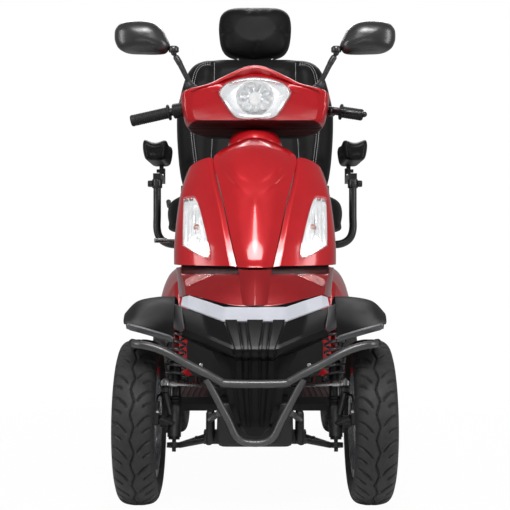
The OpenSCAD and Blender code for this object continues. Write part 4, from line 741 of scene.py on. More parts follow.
# Front lamps: clear ribbed indicators let into the fairing sides and slim clear lamps under the
# nose. Behind each lens is a bright ribbed bowl with a small tinted bulb in a ring, moulded in one unit.
clear_plastic = finish("lens_clear", (0.96, 0.97, 0.98), 0.06, vary=0.02, grain=0.02, grain_size=1500,
                       clear=0.93, ior=1.46)
bowl_bright = finish("lamp_bowl", (0.80, 0.80, 0.81), 0.16, metal=0.9, vary=0.08, grain=0.04)
bulb_glass = finish("bulb_rose", (0.72, 0.42, 0.36), 0.12, patch=60, grain=0.02, grain_size=1500, coat=0.8,
                    coat_rough=0.05)


def outline_fill(corners, n):
    """Rounded closed outline through corners, n points each side."""
    c = np.asarray(corners, float)
    return line_through(list(c) + [c[0]], n)[:-1]


class Ground:
    """Height of a panel's outer face in front of the x-z plane."""

    def __init__(self, grid):
        self.p = np.asarray(grid, float).reshape(-1, 3)

    def y(self, x, z):
        d = (self.p[:, 0] - x) ** 2 + (self.p[:, 2] - z) ** 2
        near = np.argsort(d)[:6]
        w = 1 / (d[near] + 1)
        a = np.c_[np.ones(6), self.p[near][:, 0] - x, self.p[near][:, 2] - z] * np.sqrt(w)[:, None]
        return float(np.linalg.lstsq(a, self.p[near][:, 1] * np.sqrt(w), rcond=None)[0][0])


def lens_on(ground, outline, proud, rim, rings=5, wave=0.0):
    """A domed lens standing on a panel: outline in x-z, proud is its height, wave that of its flutes."""
    o = np.asarray(outline, float)
    mid = o.mean(0)
    loops = [[[x, ground.y(x, z) - up, z] for x, z in o] for up in (-2.5, 0.45 * proud)]
    for t in np.arange(1, rings + 1) / rings:
        inner = mid + (o - mid) * (1 - rim) * (1 - 0.97 * t)
        loops.append([[x, ground.y(x, z) - proud - wave * math.cos(x * 2 * math.pi / 9), z] for x, z in inner])
    return loft_of(loops)


side_ground = Ground(flank)
chin_ground = Ground(chin)
blinker = [(327.2, 197), (321, 196), (312, 201), (299.4, 247), (298.7, 253), (301.4, 259), (324, 248), (327, 241)]
blinker = outline_fill([on_panel(x, y, -515 - 0.45 * (y - 228))[[0, 2]] for x, y in blinker], 5)
chin_lamp = [(294, 274), (310, 273.4), (324, 279.5), (322, 286), (314, 282.4)]
chin_lamp = outline_fill([on_panel(x, y, -590)[[0, 2]] for x, y in chin_lamp], 5)
lenses = pair(lens_on(side_ground, blinker, 7, 0.10), lens_on(chin_ground, chin_lamp, 5, 0.12))
fit(piece("front_lamp_lenses", *lenses, smooth=50), "frame", "lens_clear", clear_plastic, "lamp_lenses")
mid, low = blinker.mean(0), chin_lamp.mean(0)
bowl = lens_on(side_ground, mid + (blinker - mid) * 0.93, 2.2, 0.04, 9, 0.9)
fit(piece("front_lamp_bowls", *pair(bowl), smooth=60), "frame", "reflector", bowl_bright)
bowl_rose = finish("chin_bowl", (0.62, 0.20, 0.19), 0.22, metal=0.7, vary=0.35, patch=90, grain=0.3, grain_size=400)
bowl = lens_on(chin_ground, low + (chin_lamp - low) * 0.92, 1.6, 0.04, 6, 0.7)
fit(piece("chin_lamp_bowls", *pair(bowl), smooth=20), "frame", "reflector", bowl_rose)
foot = [mid[0] - 4, side_ground.y(mid[0] - 4, mid[1] + 6) - 2.5, mid[1] + 6]
way = [0.35, -1, 0.25]
bulb = turned_of([(0, 0), (0, 4.6), (2, 4.4), (3.2, 3), (3.8, 0)], foot, way, 20)
ring = turned_of([(0, 8.2), (1.2, 8.6), (2.4, 8.2), (2.4, 7.0), (1.2, 6.6), (0, 7.0), (0, 8.2)], foot, way, 28)
fit(piece("front_lamp_bulbs", *pair(bulb, ring)), "frame", "reflector", bulb_glass)

# Floor: a pressed steel pan with a raised rim, screwed to the rails. A black rubber mat is glued on, with
# long ribs against slipping.
mat_rubber = finish("floor_rubber", (0.013, 0.013, 0.014), 0.75, vary=0.3, patch=8, grain=0.25, grain_size=700)
dress("floor_pan", mat_rubber)
rib_shape = ((-1, 0), (-0.8, 0.7), (-0.45, 1), (0.45, 1), (0.8, 0.7), (1, 0), (0, -0.1))
rib_heights = [0.8] + [3.2] * 8 + [0.8]
MAT_Z = 221.6
ribs = []
for x in range(-240, 241, 16):
    steps = np.linspace(-252 if abs(x) > 60 else -250, 115, len(rib_heights))
    ribs.append(loft_of([[[x + u * 4, y, MAT_Z + v * h] for u, v in rib_shape] for y, h in zip(steps, rib_heights)]))
fit(piece("floor_mat_ribs", *ribs, smooth=45), "frame", "floor_rubber", mat_rubber)

# Knee panel: black moulding with a grained face that closes the nose toward the rider. Two tabs at its foot
# clip over the floor's front lip.
knee_plastic = finish("knee_plastic", (0.016, 0.016, 0.018), 0.5, vary=0.25, patch=9, grain=0.14, grain_size=800)
knee_line = [[250, 262], [250, 420], [236, 520], [200, 590], [212, 650], [238, 740], [262, 800], [282, 850]]
knee_half = [150, 176, 188, 198, 196, 189, 178, 150]
rows = []
for (y, z), w in zip(knee_line, knee_half):
    y = FRONT_AXLE + y + 30
    rows.append(whole([[0, y, z], [w * 0.55, y - 3, z], [w, y - 16, z]]))
knee = skin_of(sheet_through(rows, 10, 10), 4, [0, 1, 0])
tab = np.array([[60, -266.5, 230], [60, -260.5, 230], [130, -260.5, 230], [130, -266.5, 230]])
tab = loft_of([tab, tab + [0, 0, 38], tab + [0, 9, 42], tab + [0, 9, 44]])
fit(soft_edges(piece("knee_skin", knee, *pair(tab), smooth=45)), "frame", "satin_black", knee_plastic, "knee_panel")

# Rear body: one big red lacquered shell over batteries, motor and wheels, screwed down on four
# posts. It is open under the wheels and has a round hole for the seat post.
rear_rows = [
    [[0, 130, 244], [100, 130, 244], [190, 131, 244], [226, 136, 244], [236, 148, 244], [238, 160, 244]],
    [[0, 126, 400], [104, 126, 400], [194, 128, 396], [236, 136, 390], [248, 152, 384], [252, 170, 372]],
    [[0, 128, 546], [104, 128, 545], [192, 132, 538], [238, 144, 520], [256, 164, 492], [264, 196, 440]],
    [[0, 146, 570], [104, 148, 570], [196, 156, 562], [246, 176, 540], [274, 206, 500], [290, 246, 440]],
    [[0, 300, 588], [104, 300, 588], [200, 300, 582], [262, 302, 562], [292, 306, 520], [312, 312, 444]],
    [[0, 440, 592], [104, 440, 592], [202, 440, 587], [266, 440, 570], [298, 440, 524], [322, 440, 446]],
    [[0, 580, 584], [104, 580, 584], [200, 580, 579], [266, 580, 564], [298, 580, 520], [322, 580, 446]],
    [[0, 690, 560], [104, 690, 560], [198, 688, 556], [258, 684, 542], [290, 678, 506], [314, 668, 446]],
    [[0, 752, 510], [102, 750, 510], [192, 744, 506], [248, 730, 494], [280, 712, 470], [298, 700, 444]],
    [[0, 780, 440], [100, 778, 440], [188, 770, 438], [240, 752, 436], [272, 726, 434], [284, 710, 432]],
    [[0, 774, 330], [100, 772, 330], [186, 764, 334], [212, 752, 340], [222, 738, 348], [226, 726, 356]]]
tail = sheet_through([whole(r) for r in rear_rows], 8, 8)
verts, faces = skin_of(tail, 3, [0, 0.2, 1])
from_post = np.hypot(verts[:, 0], verts[:, 1] - 215)
faces = [f for f in faces if not all(from_post[i] < 38 and verts[i][2] > 540 for i in f)]
posts = [block((110, 140), (235, 295), (438, 578)), block((150, 186), (490, 540), (444, 578))]
fit(soft_edges(piece("rear_shell", (verts, faces), *pair(*posts), smooth=50)), "frame", "gloss_red", lacquer,
    "rear_body")
tail_red = finish("tail_lens", (0.42, 0.006, 0.008), 0.08, vary=0.05, grain=0.02, grain_size=1500,
                  clear=0.35, ior=1.46, coat=0.8)
tail_lamp = outline_fill([[150, 520], [200, 518], [238, 505], [240, 470], [205, 462], [152, 470]], 5)
turned_round = np.array([1, -1, 1])
verts, faces = lens_on(Ground(tail[60:] * turned_round), tail_lamp, 6, 0.08)
fit(piece("tail_lamps", *pair((verts * turned_round, faces)), smooth=50), "frame", "reflector", tail_red)

# Drive unit: cast alloy motor and gearbox on a swinging frame, with two coil-over dampers up to
# the frame.
dress("swing_frame", cast_grey)
damper_steel = finish("damper_steel", (0.32, 0.33, 0.35), 0.35, metal=0.9, patch=20, grain=0.04,
                      grain_size=1500)
rods, bodies, coils = [], [], []
for x in (168, -168):
    for shapes, profile, z, sides in (
            (bodies, [(0, 0), (0, 14), (84, 14), (86, 12), (86, 0)], 239.3, 28),
            (bodies, [(0, 0), (0, 26), (2, 28), (4, 28), (4, 0)], 255, 28),
            (rods, [(0, 0), (0, 7), (110, 7), (110, 0)], 318, 24),
            (rods, [(0, 0), (0, 28), (9, 28), (11, 26), (11, 0)], 418.6, 28)):
        shapes.append(turned_of(profile, [x, REAR_AXLE, z], [0, 0, 1], sides))
    coils.append(sweep_of(coil_line(22, 262.5, 414.5, 6) + np.array([x, REAR_AXLE, 0]), 3.5, 10))
fit(piece("damper_rods", *rods, smooth=35), "frame", "black_steel", damper_steel, "rear_shocks")
fit(piece("damper_bodies", *bodies, smooth=35), "drive", "black_steel", strut_black)
spring = piece("damper_springs", *coils, smooth=60)
spring.data.materials.append(spring_enamel)
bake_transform(spring)

# Tiller: steel shaft in the head tube with the steering plate at its foot, and a red collar that
# closes the gap between the shaft and the nose.
shaft_black = finish("tiller_black", (0.018, 0.018, 0.02), 0.38, metal=0.2, vary=0.2, patch=14, grain=0.05,
                     grain_size=1400, coat=0.3, coat_rough=0.2)
dress("steering_column", shaft_black)
SHAFT_FOOT, SHAFT_BACK, SHAFT_RISE = -458, 0.2419, 0.9703


def collar_ring(along, wide, deep, thin=1.0):
    """An oval ring around the shaft, at a distance along it."""
    t = np.linspace(0, 2 * math.pi, 49)[:-1]
    return np.stack([wide * thin * np.cos(t), SHAFT_FOOT + SHAFT_BACK * along + deep * 0.97 * thin * np.sin(t),
                     AXLE_Z + SHAFT_RISE * along - deep * 0.242 * np.sin(t)], -1)


collar = [(712, 74, 58), (716, 76, 60), (738, 72, 58), (752, 66, 53), (758, 62, 50)]
rings = [collar_ring(*q) for q in collar] + [collar_ring(*q, 0.95) for q in collar[::-1]]
fit(soft_edges(piece("tiller_collar", loft_of(rings + rings[:1], capped=False), smooth=50)), "tiller", "gloss_red",
    lacquer)

# Handlebar: bent steel tube clamped to the tiller's fork, with the lever's perch and a ribbed black
# sleeve on the throttle side.
dress("handlebar", shaft_black)
BAR_C = -256
throttle_in, throttle_out = np.array([-230, BAR_C + 15, 1009.]), np.array([-342, BAR_C + 24, 985.])
left_in, left_out = np.array([230, BAR_C + 13, 1010.]), np.array([297, BAR_C + 20, 1001.])
sleeve = [(0, 0), (0, 17), (2, 19.5)]
for at in range(0, 25, 5):
    sleeve += [(at + 3, 20.6), (at + 5.6, 20.6), (at + 6.2, 18.8), (at + 7.2, 18.8)]
sleeve += [(29, 19.5), (30, 17), (30, 0)]
sleeve = turned_of(sleeve, throttle_in + [5, -0.7, 1.2], [28, -3.2, 4.6], 40)
fit(piece("bar_sleeve", sleeve, smooth=35), "bars", "satin_black", boot_rubber)

# Grips: moulded rubber with fine rings and a flange, slid over the bar ends. The throttle side
# turns on the bar, the other side is fixed.
grip_rubber = finish("grip_rubber", (0.012, 0.012, 0.013), 0.62, vary=0.3, patch=20, grain=0.2)


def grip_of(a, b):
    """A ringed grip from a to b, with a flange at a."""
    long = np.linalg.norm(b - a)
    run = [(0, 11.2), (0, 20), (1.5, 22), (5, 22), (6.6, 20), (6.8, 15.2)]
    at = 9.0
    while at < long - 12:
        run += [(at, 15.1), (at + 1.1, 16.0), (at + 3.2, 16.0), (at + 4.3, 15.1)]
        at += 5.4
    run += [(long - 8, 16.0), (long - 3, 15.6), (long - 0.6, 13.6), (long - 0.2, 11), (long - 0.2, 0)]
    return turned_of(run, a, b - a, 40)


turning = grip_of(throttle_in + 0.03 * (throttle_out - throttle_in), throttle_out)
fit(piece("throttle_grip_rubber", turning, smooth=35), "throttle", "grip_rubber", grip_rubber, "throttle_grip")
fixed = grip_of(left_in + 0.04 * (left_out - left_in), left_out)
fit(piece("left_grip_rubber", fixed, smooth=35), "bars", "grip_rubber", grip_rubber, "left_grip")

# Brake lever: forged alloy blade painted black, curved outward and ending in a ball. It turns on a pin
# in the bar's perch, beside the left grip.
lever_black = finish("lever_black", (0.012, 0.012, 0.013), 0.24, metal=0.3, vary=0.15, patch=25, grain=0.03,
                     grain_size=1400, coat=0.4, coat_rough=0.1)


def ball_of(radius, centre, axis):
    """A ball, given as a turned shape around an axis."""
    arc = np.linspace(-1.45, 1.45, 12)
    profile = [(-radius, 0), *[(radius * math.sin(a), radius * math.cos(a)) for a in arc], (radius, 0)]
    return turned_of(profile, centre, axis, 24)


pin = np.array([208, -268, 1008.])
blade = line_through(pin + [[4, -8, -1], [20, -22, -3], [44, -31, -7], [70, -32, -11], [86, -31, -13]], 9)
rings = []
for k, q in enumerate(blade):
    t = blade[min(k + 1, len(blade) - 1)] - blade[max(k - 1, 0)]
    t = t / np.linalg.norm(t)
    side = np.cross(t, [0, 0, 1.0])
    side /= np.linalg.norm(side)
    up = np.cross(side, t) * (6.6 - 2.2 * k / (len(blade) - 1))
    rings.append([q + side * 4.2 * math.cos(a) + up * math.sin(a) for a in np.linspace(0, 2 * math.pi, 17)[:-1]])
knuckle = turned_of([(-6.7, 3.05), (-6.7, 7.4), (-6, 8), (4.2, 8), (4.9, 7.4), (4.9, 3.05), (-6.7, 3.05)], pin,
                    [0, 0, 1], 28)
fit(piece("brake_blade", loft_of(rings), ball_of(8, blade[-1], [1, 0.05, -0.1]), knuckle, smooth=50), "lever",
    "cast_alloy", lever_black, "brake_lever")

# Headlamp cowl: red lacquered hood over the handlebar's middle. Its underside is drawn in a dark shaded red,
# a painted shade on the same lacquer. The lamp's opening and the mirror stems' holes are moulded in, and it is
# screwed to the bar's clamp.
cowl_out = [[0, 1120], [26, 1116], [56, 1104], [92, 1086], [120, 1071], [150, 1062], [176, 1056], [194, 1049],
            [200, 1040], [197, 1012], [191, 984], [187, 969], [181, 960], [168, 956.6], [110, 955.6], [0, 955]]
half = line_through([[a, 0, b] for a, b in cowl_out], 5)[:, [0, 2]]
cowl_ring = np.concatenate([half, (half * [-1, 1])[-2:0:-1]])
cowl_steps = [[-97, 0.86, -0.10, 8], [-95.5, 0.90, -0.10, 6.5], [-90, 0.965, -0.10, 4], [-62, 1, -0.06, 0],
              [-10, 0.99, -0.2, -2], [26, 0.95, -0.36, -8], [51, 0.86, -0.5, -14]]
COWL_Z, UPRIGHT_Z, FACE_SLOPE = 1012, 1000, 0.10


def cowl_at(step, inset=0.0):
    """The cowl's outline at one step (y, scale, lean of the ring, rise), drawn in by inset."""
    y, k, lean, dz = step
    x, z = cowl_ring[:, 0] * k, (cowl_ring[:, 1] - COWL_Z) * k + dz
    f = 1 - inset / np.hypot(x, z)
    return np.stack([x * f, BAR_C + y + lean * (z + COWL_Z - UPRIGHT_Z), COWL_Z + z * f], -1)


steps = line_through([q[:3] for q in cowl_steps], 4)
steps = np.c_[steps, np.interp(np.linspace(0, 6, len(steps)), range(7), [q[3] for q in cowl_steps])]
LAMP_Y, LAMP_Z = BAR_C - 97, 1032
lamp_out = [[0, 1087], [38, 1083], [78, 1070], [97, 1046], [86, 1022], [52, 978], [0, 975]]
lamp_half = line_through([[a, 0, b] for a, b in lamp_out], 8)[:, [0, 2]]
lamp_poly = np.concatenate([lamp_half, (lamp_half * [-1, 1])[-2:0:-1]])


def lamp_at(k, y, like=None):
    """The lamp's outline times k, y in front of the cowl's sloping face."""
    poly = lamp_poly - [0, LAMP_Z]
    if like is not None:
        ang = np.arctan2(poly[:, 1], poly[:, 0])
        rad = np.hypot(poly[:, 0], poly[:, 1])
        order = np.argsort(ang)
        want = np.arctan2(like[:, 2] - LAMP_Z, like[:, 0])
        r = np.interp(want, ang[order], rad[order], period=2 * math.pi)
        poly = np.stack([r * np.cos(want), r * np.sin(want)], -1)
    z = LAMP_Z + poly[:, 1] * k
    return np.stack([poly[:, 0] * k, LAMP_Y - FACE_SLOPE * (z - UPRIGHT_Z) - y, z], -1)


first = cowl_at(steps[0])
rings = [lamp_at(0.955, -26, first), lamp_at(0.955, -1.5, first), lamp_at(0.975, 0, first),
         0.5 * lamp_at(0.98, 0, first) + 0.5 * first]
rings += [cowl_at(q) for q in steps]
rings += [cowl_at(q, 3) for q in steps[::-1]]
for r in rings[3:4 + len(steps)]:
    fore = rise((BAR_C - 30 - r[:, 1]) / 50)
    r[:, 2] = np.maximum(r[:, 2], 945 + 28 * rise((BAR_C - 20 - r[:, 1]) / 65))
    corner = 10 * rise((np.abs(r[:, 0]) - 110) / 90) * rise((r[:, 2] - 1000) / 60)
    r[:, 1] += fore * (20 * rise((r[:, 2] - 1050) / 60) + corner)
rings[-1] = rings[-1] + [0, 3, 0]
verts, faces = loft_of(rings + rings[:1], capped=False)
count = len(cowl_ring)
# The underside faces picked here are drawn in the shaded red: painted shade under the hood.
low = {j for j, (a, b) in enumerate(cowl_ring) if b < 959}
under = {i for i in range(len(verts)) if i % count in low and i // count >= 9}
shaded_faces = [f for f in faces if set(f) <= under]
hood = [f for f in faces if not set(f) <= under]


def part_of(verts, faces):
    """The faces as a shape of its own, with only the points they use."""
    used = sorted({i for f in faces for i in f})
    back = {v: k for k, v in enumerate(used)}
    return np.asarray(verts)[used], [tuple(back[i] for i in f) for f in faces]


fit(piece("cowl_hood", part_of(verts, hood), smooth=40), "bars", "gloss_red", lacquer, "handlebar_cowl")
fit(piece("cowl_shaded_underside", part_of(verts, shaded_faces), smooth=40), "bars", "gloss_red", painted_shade_red)

# Headlamp: clear domed lens over a bright reflector with smooth wings and a faceted round bowl. The
# bulb sits in the middle of the bowl, and the lamp is pushed into the cowl's opening from inside.
outer = [(0.985, -2), (0.99, 1), (0.985, 3.2), (0.95, 5.6), (0.8, 8), (0.5, 9.6), (0.2, 10.2), (0.02, 10.3)]
inner = [(0.02, 7.8), (0.5, 7.2), (0.8, 5.6), (0.93, 3.2), (0.955, 0), (0.955, -2)]
rings = [lamp_at(k, y) for k, y in outer + inner]
fit(piece("headlamp_glass", loft_of(rings + rings[:1], capped=False), smooth=50), "bars", "lens_clear",
    clear_plastic, "headlamp_lens")
chrome = finish("lamp_chrome", (0.90, 0.91, 0.92), 0.20, metal=0.8, vary=0.04, grain=0.02, grain_size=1200)
BOWL_Z, BOWL_W, BOWL_H = 1034, 50, 46
order = np.argsort(np.arctan2(lamp_poly[:, 1] - BOWL_Z, lamp_poly[:, 0]))
edge = lamp_at(0.95, -4)[order]
want = np.arctan2(edge[:, 2] - BOWL_Z, edge[:, 0])
hole = np.stack([BOWL_W * np.cos(want), LAMP_Y + 15 - FACE_SLOPE * (48 * np.sin(want) + 34),
                 BOWL_Z + BOWL_H * np.sin(want)], -1)
wings = [edge + [0, 4, 0], edge]
for t in (0.15, 0.4, 0.7, 0.95, 1.0):
    wings.append(edge * (1 - t) + hole * t + [0, 3.6 * math.sin(math.pi * t), 0])
fit(piece("headlamp_wings", loft_of(wings, capped=False), smooth=40), "bars", "reflector", chrome,
    "headlamp_reflector")
facets = np.linspace(0, 2 * math.pi, 21)[:-1] + 0.1
rings = []
for t, depth in ((1.0, 15), (0.97, 17), (0.8, 27), (0.62, 35), (0.44, 41), (0.26, 45), (0.1, 46.5)):
    fold = 4 if 0.2 < t < 0.9 else 0
    rings.append([[BOWL_W * t * math.cos(a), LAMP_Y - 3.4 + depth + fold * (k % 2) - 4.6 * t * math.sin(a),
                   BOWL_Z + BOWL_H * t * math.sin(a)] for k, a in enumerate(facets)])
bowl_chrome = finish("bowl_chrome", (0.92, 0.93, 0.94), 0.05, metal=1.0, vary=0.04, grain=0.02,
                     grain_size=1200)
fit(piece("headlamp_bowl", loft_of(rings, capped=False), smooth=4), "bars", "reflector", bowl_chrome)
warm = finish("bulb_clear", (0.95, 0.95, 0.93), 0.08, vary=0.03, patch=60, grain=0.02, grain_size=1500, coat=0.6)
bulb = turned_of([(0, 0), (0, 11), (10, 17), (16, 18), (20, 16), (23, 9), (24, 0)], [0, BAR_C - 56, BOWL_Z],
                 [0, -1, 0], 32)
fit(piece("headlamp_bulb", bulb, smooth=50), "bars", "reflector", warm)

# Dash: black moulded plate facing the rider with a battery gauge window, ignition key, speed dial
# and horn button.
dash_black = finish("dash_black", (0.014, 0.014, 0.015), 0.4, vary=0.2, patch=15, grain_size=1000)
dress("dash_panel", dash_black)
key_steel = finish("key_steel", (0.5, 0.5, 0.52), 0.25, metal=1.0, vary=0.08, grain=0.03, grain_size=1500)
dress("ignition_key", key_steel)
dial_grey = finish("dial_grey", (0.03, 0.03, 0.032), 0.45, vary=0.2, patch=20, grain=0.1, grain_size=1200)
dress("speed_dial", dial_grey)
dress("horn_button", finish("horn_red", (0.33, 0.01, 0.01), 0.4, patch=20, grain=0.05, grain_size=1200))

# Mirrors: glossy black teardrop shells with flat glass, on tapered stems with a rubber boot at the
# cowl. Each head turns on the ball at its stem's end.
shell_black = finish("mirror_shell", (0.010, 0.010, 0.011), 0.34, vary=0.15, patch=12, grain=0.04, grain_size=1500,
                     coat=1.0, coat_rough=0.28)
glass = finish("mirror_glass", (0.82, 0.84, 0.86), 0.03, metal=1.0, vary=0.02, patch=20, grain=0.01, grain_size=500)
MIRROR_SCALE = 2.734
drop = [(114.6, 35.1), (115.5, 29.6), (120.2, 24), (128.5, 21.3), (143.3, 20.7), (154.4, 23.1), (161.8, 28.7),
        (166.4, 37), (170.1, 45.3), (168.8, 49.9), (165.5, 53.6), (158.1, 54.7), (143.3, 54.6), (128.5, 53.6),
        (119.2, 49), (115.2, 41.6)]
drop = outline_fill([[(MIDDLE - a) * MIRROR_SCALE, EYE_UP - (b - MIDDLE) * MIRROR_SCALE] for a, b in drop], 5)
centre_of = (drop.min(0) + drop.max(0)) / 2


def drop_at(k, y):
    """The mirror's outline times k, y behind the bar's middle."""
    q = centre_of + (drop - centre_of) * k
    return np.stack([q[:, 0], np.full(len(q), BAR_C + y), q[:, 1]], -1)


head = loft_of([drop_at(k, y) for k, y in (
    (0.02, -37), (0.2, -36.4), (0.38, -34.6), (0.55, -31.4), (0.7, -27), (0.82, -21.8), (0.91, -16), (0.97, -9),
    (1.0, -2), (0.995, 2.5), (0.98, 4), (0.945, 4), (0.935, 2.6), (0.935, 0.4), (0.5, 0.2), (0.02, 0.2))])
pane = loft_of([drop_at(k, y) for k, y in ((0.02, 0.4), (0.93, 0.4), (0.93, 2.6), (0.9, 2.9), (0.5, 2.9), (0.02, 2.9))])
BALL_AT = [222, -258, 1168]
socket = turned_of([(2, 9), (2, 12.5), (4, 14), (14, 14), (18, 11), (18, 0)], BALL_AT, [0, 0, 1], 28)
for k, (_, word) in enumerate(SIDES):
    shell = piece("mirror_shell_" + word, pair(head)[k], pair(socket)[k], smooth=50)
    fit(shell, "mirror_" + word[0], "satin_black", shell_black, "mirror_" + word)
    fit(piece("mirror_pane_" + word, pair(pane)[k], smooth=50), "mirror_" + word[0], "reflector", glass)
route = line_through([[150, -2, 1029.6], [156, -3, 1046], [168, -6, 1068], [186, -8, 1100], [206, -6, 1140],
                      [219, -3, 1162]], 8) + [0, BAR_C, 0]
taper = np.interp(np.linspace(0, 1, len(route)), [0, 0.3, 0.55, 0.78, 0.79, 0.93, 0.96, 1],
                  [8.2, 7.0, 6.8, 7.8, 8.6, 8.8, 6.0, 5.0])
foot = turned_of([(0, 0), (0, 9), (5, 9), (6, 8), (6, 0)], [150, BAR_C - 2, 1029.6], [0, 0, 1], 24)
stems = pair(sweep_of(route, taper, 18), ball_of(8, BALL_AT, [0, 0, 1]), foot)
fit(piece("mirror_stalks", *stems, smooth=50), "bars", "black_steel", shaft_black, "mirror_stems")
boot = turned_of([(0, 0), (0, 17), (3, 18.5), (7, 18), (10, 15.2), (13, 15.6), (16, 13.4), (19, 13.6), (22, 11.6),
                  (26, 11), (28, 8.5), (28, 0)], [171, BAR_C - 6.4, 1064], [0.5, -0.05, 0.86], 28)
fit(piece("mirror_boots", *pair(boot), smooth=40), "bars", "satin_black", boot_rubber)

# Seat base: turning post and plate with two runners, and a pressed pan that slides on them. The two
# release levers are bent steel with plastic ends.
dress("seat_post", shaft_black)
dress("seat_pan", strut_black)
dress("swivel_lever", zinc)
dress("recline_lever", strut_black)

# Seat cushion: moulded foam in charcoal vinyl with raised side rolls, stapled to the pan. The cover
# is sewn along the rolls, so the middle lies lower.
vinyl = finish("seat_vinyl", (0.0085, 0.0085, 0.009), 0.46, vary=0.25, patch=7, grain=0.35, grain_size=520, sheen=0.02,
               cells=True, shine=0.11)
thread = finish("seat_thread", (0.55, 0.55, 0.56), 0.7, vary=0.2, patch=40, grain=0.2, grain_size=2500)


def swell(ob, voxel, cap, held, pressure=14.0):
    """Foam pressing its cover out: an even mesh, a short cloth run and a limit on how far a point goes."""
    bpy.context.view_layer.objects.active = ob
    even = ob.modifiers.new("even", "REMESH")
    even.mode, even.voxel_size = "VOXEL", voxel
    bpy.ops.object.modifier_apply(modifier="even")
    calm = ob.modifiers.new("calm", "SMOOTH")
    calm.factor, calm.iterations = 0.5, 8
    bpy.ops.object.modifier_apply(modifier="calm")
    start = np.array([v.co for v in ob.data.vertices])
    cover = ob.modifiers.new("cover", "CLOTH")
    cover.settings.use_pressure = True
    cover.settings.uniform_pressure_force = pressure
    cover.settings.effector_weights.gravity = 0
    cover.settings.quality = 4
    pins = ob.vertex_groups.new(name="held")
    pins.add([i for i, q in enumerate(start) if held(q * 1000)], 1.0, "REPLACE")
    cover.settings.vertex_group_mass = "held"
    cover.point_cache.frame_start, cover.point_cache.frame_end = 1, 20
    for frame_no in range(1, 21):
        scene.frame_set(frame_no)
    done = ob.evaluated_get(bpy.context.evaluated_depsgraph_get()).to_mesh()
    blown = np.array([v.co for v in done.vertices])
    ob.modifiers.remove(cover)
    scene.frame_set(1)
    move = blown - start
    far = np.linalg.norm(move, axis=1)
    blown = start + move * np.minimum(1, cap / np.maximum(far, 1e-9))[:, None]
    ob.data.vertices.foreach_set("co", blown.ravel())
    fine = ob.modifiers.new("fine", "SUBSURF")
    fine.levels = fine.render_levels = 1
    bpy.ops.object.modifier_apply(modifier="fine")
    for poly in ob.data.polygons:
        poly.use_smooth = True
    return ob


def pressed(ob, change):
    """Moves every point by what change gives for all points, in mm."""
    co = np.array([v.co for v in ob.data.vertices]) * 1000
    ob.data.vertices.foreach_set("co", ((co + change(co)) * 0.001).ravel())
    ob.data.update()


def near_line(points, line):
    """Distance of each 2-D point from a line of points, and which point of it is nearest."""
    d = np.sqrt(((points[:, None, :] - np.asarray(line)[None, :, :]) ** 2).sum(2))
    return d.min(1), d.argmin(1)


SEAT_Y, SEAT_W, SEAT_D = 171, 550, 460
SEAT_Z, SEAT_T, SEAT_CORNER = 686, 102, 0.42
ROLL_W, ROLL_D = SEAT_W * 0.665, SEAT_D * 0.775
cush_levels = [[0.90, 0.92, 0], [0.955, 0.965, 0.05], [0.99, 0.99, 0.3], [1, 1, 0.56], [0.985, 0.985, 0.8],
               [0.945, 0.95, 0.94], [0.87, 0.90, 1], [0.78, 0.85, 0.985], [0.70, 0.80, 0.90], [0.665, 0.775, 0.79],
               [0.63, 0.75, 0.80], [0.54, 0.68, 0.84], [0.36, 0.46, 0.845], [0.18, 0.23, 0.82], [0.02, 0.02, 0.81]]
rings = [level_ring(round_rect(SEAT_W * a, SEAT_D * b, 96, SEAT_CORNER), SEAT_Z + SEAT_T * c, 0, SEAT_Y)
         for a, b, c in line_through(cush_levels, 3)]
cushion = swell(piece("seat_cushion_cover", loft_of(rings)), 0.007, 0.009, lambda q: q[2] < 696)
fit(cushion, "seat", "seat_vinyl", vinyl, "seat_cushion")
roll_seam = round_rect(ROLL_W, ROLL_D, 160, SEAT_CORNER) + [0, SEAT_Y]


def sink_roll(co):
    d, _ = near_line(co[:, :2], roll_seam)
    out = np.zeros_like(co)
    out[:, 2] = np.where(co[:, 2] > 730, -3.5 * np.exp(-(d / 4.5) ** 2), 0)
    return out


pressed(cushion, sink_roll)


def surface_of(ob):
    return BVHTree.FromPolygons([v.co * 1000 for v in ob.data.vertices], [tuple(p.vertices) for p in ob.data.polygons])


def stitch_row(tree, line, start_of, way, pitch=7.5, length=5.4, radius=0.85, lift=0.35):
    """Thread stitches along a line, laid on a surface that is found by looking along way."""
    line = np.asarray(line, float)
    step = np.linalg.norm(np.diff(line, axis=0), axis=1)
    at = np.concatenate([[0], np.cumsum(step)])
    shapes = []
    for s in np.arange(pitch / 2, at[-1] - pitch / 2, pitch):
        ends = []
        for o in (-0.5, -0.3, 0, 0.3, 0.5):
            q = np.array([np.interp(s + o * length, at, line[:, k]) for k in range(line.shape[1])])
            hit = tree.ray_cast(Vector(start_of(q)), Vector(way))[0]
            if hit is None:
                break
            h = lift if abs(o) < 0.4 else -0.4
            ends.append(np.array(hit - Vector(way) * h))
        if len(ends) == 5:
            shapes.append(sweep_of(ends, [radius * 0.5, radius, radius, radius, radius * 0.5], 6))
    return shapes


tree = surface_of(cushion)
shapes = []
for k in (-4, 4):
    ring = round_rect(ROLL_W + 2 * k, ROLL_D + 2 * k, 160, SEAT_CORNER) + [0, SEAT_Y]
    shapes += stitch_row(tree, np.concatenate([ring, ring[:1]]), lambda q: (q[0], q[1], 900), (0, 0, -1))
fit(piece("seat_cushion_stitches", *shapes, smooth=60), "seat", "seat_vinyl", thread)

# Backrest: the same foam and vinyl on a steel frame, with side bolsters sewn in two rows and two long
# seams beside the middle. It turns on ears at its foot.
LEAN_C, LEAN_S = math.cos(math.radians(9)), math.sin(math.radians(9))
HINGE_Y, HINGE_Z = 419, 740


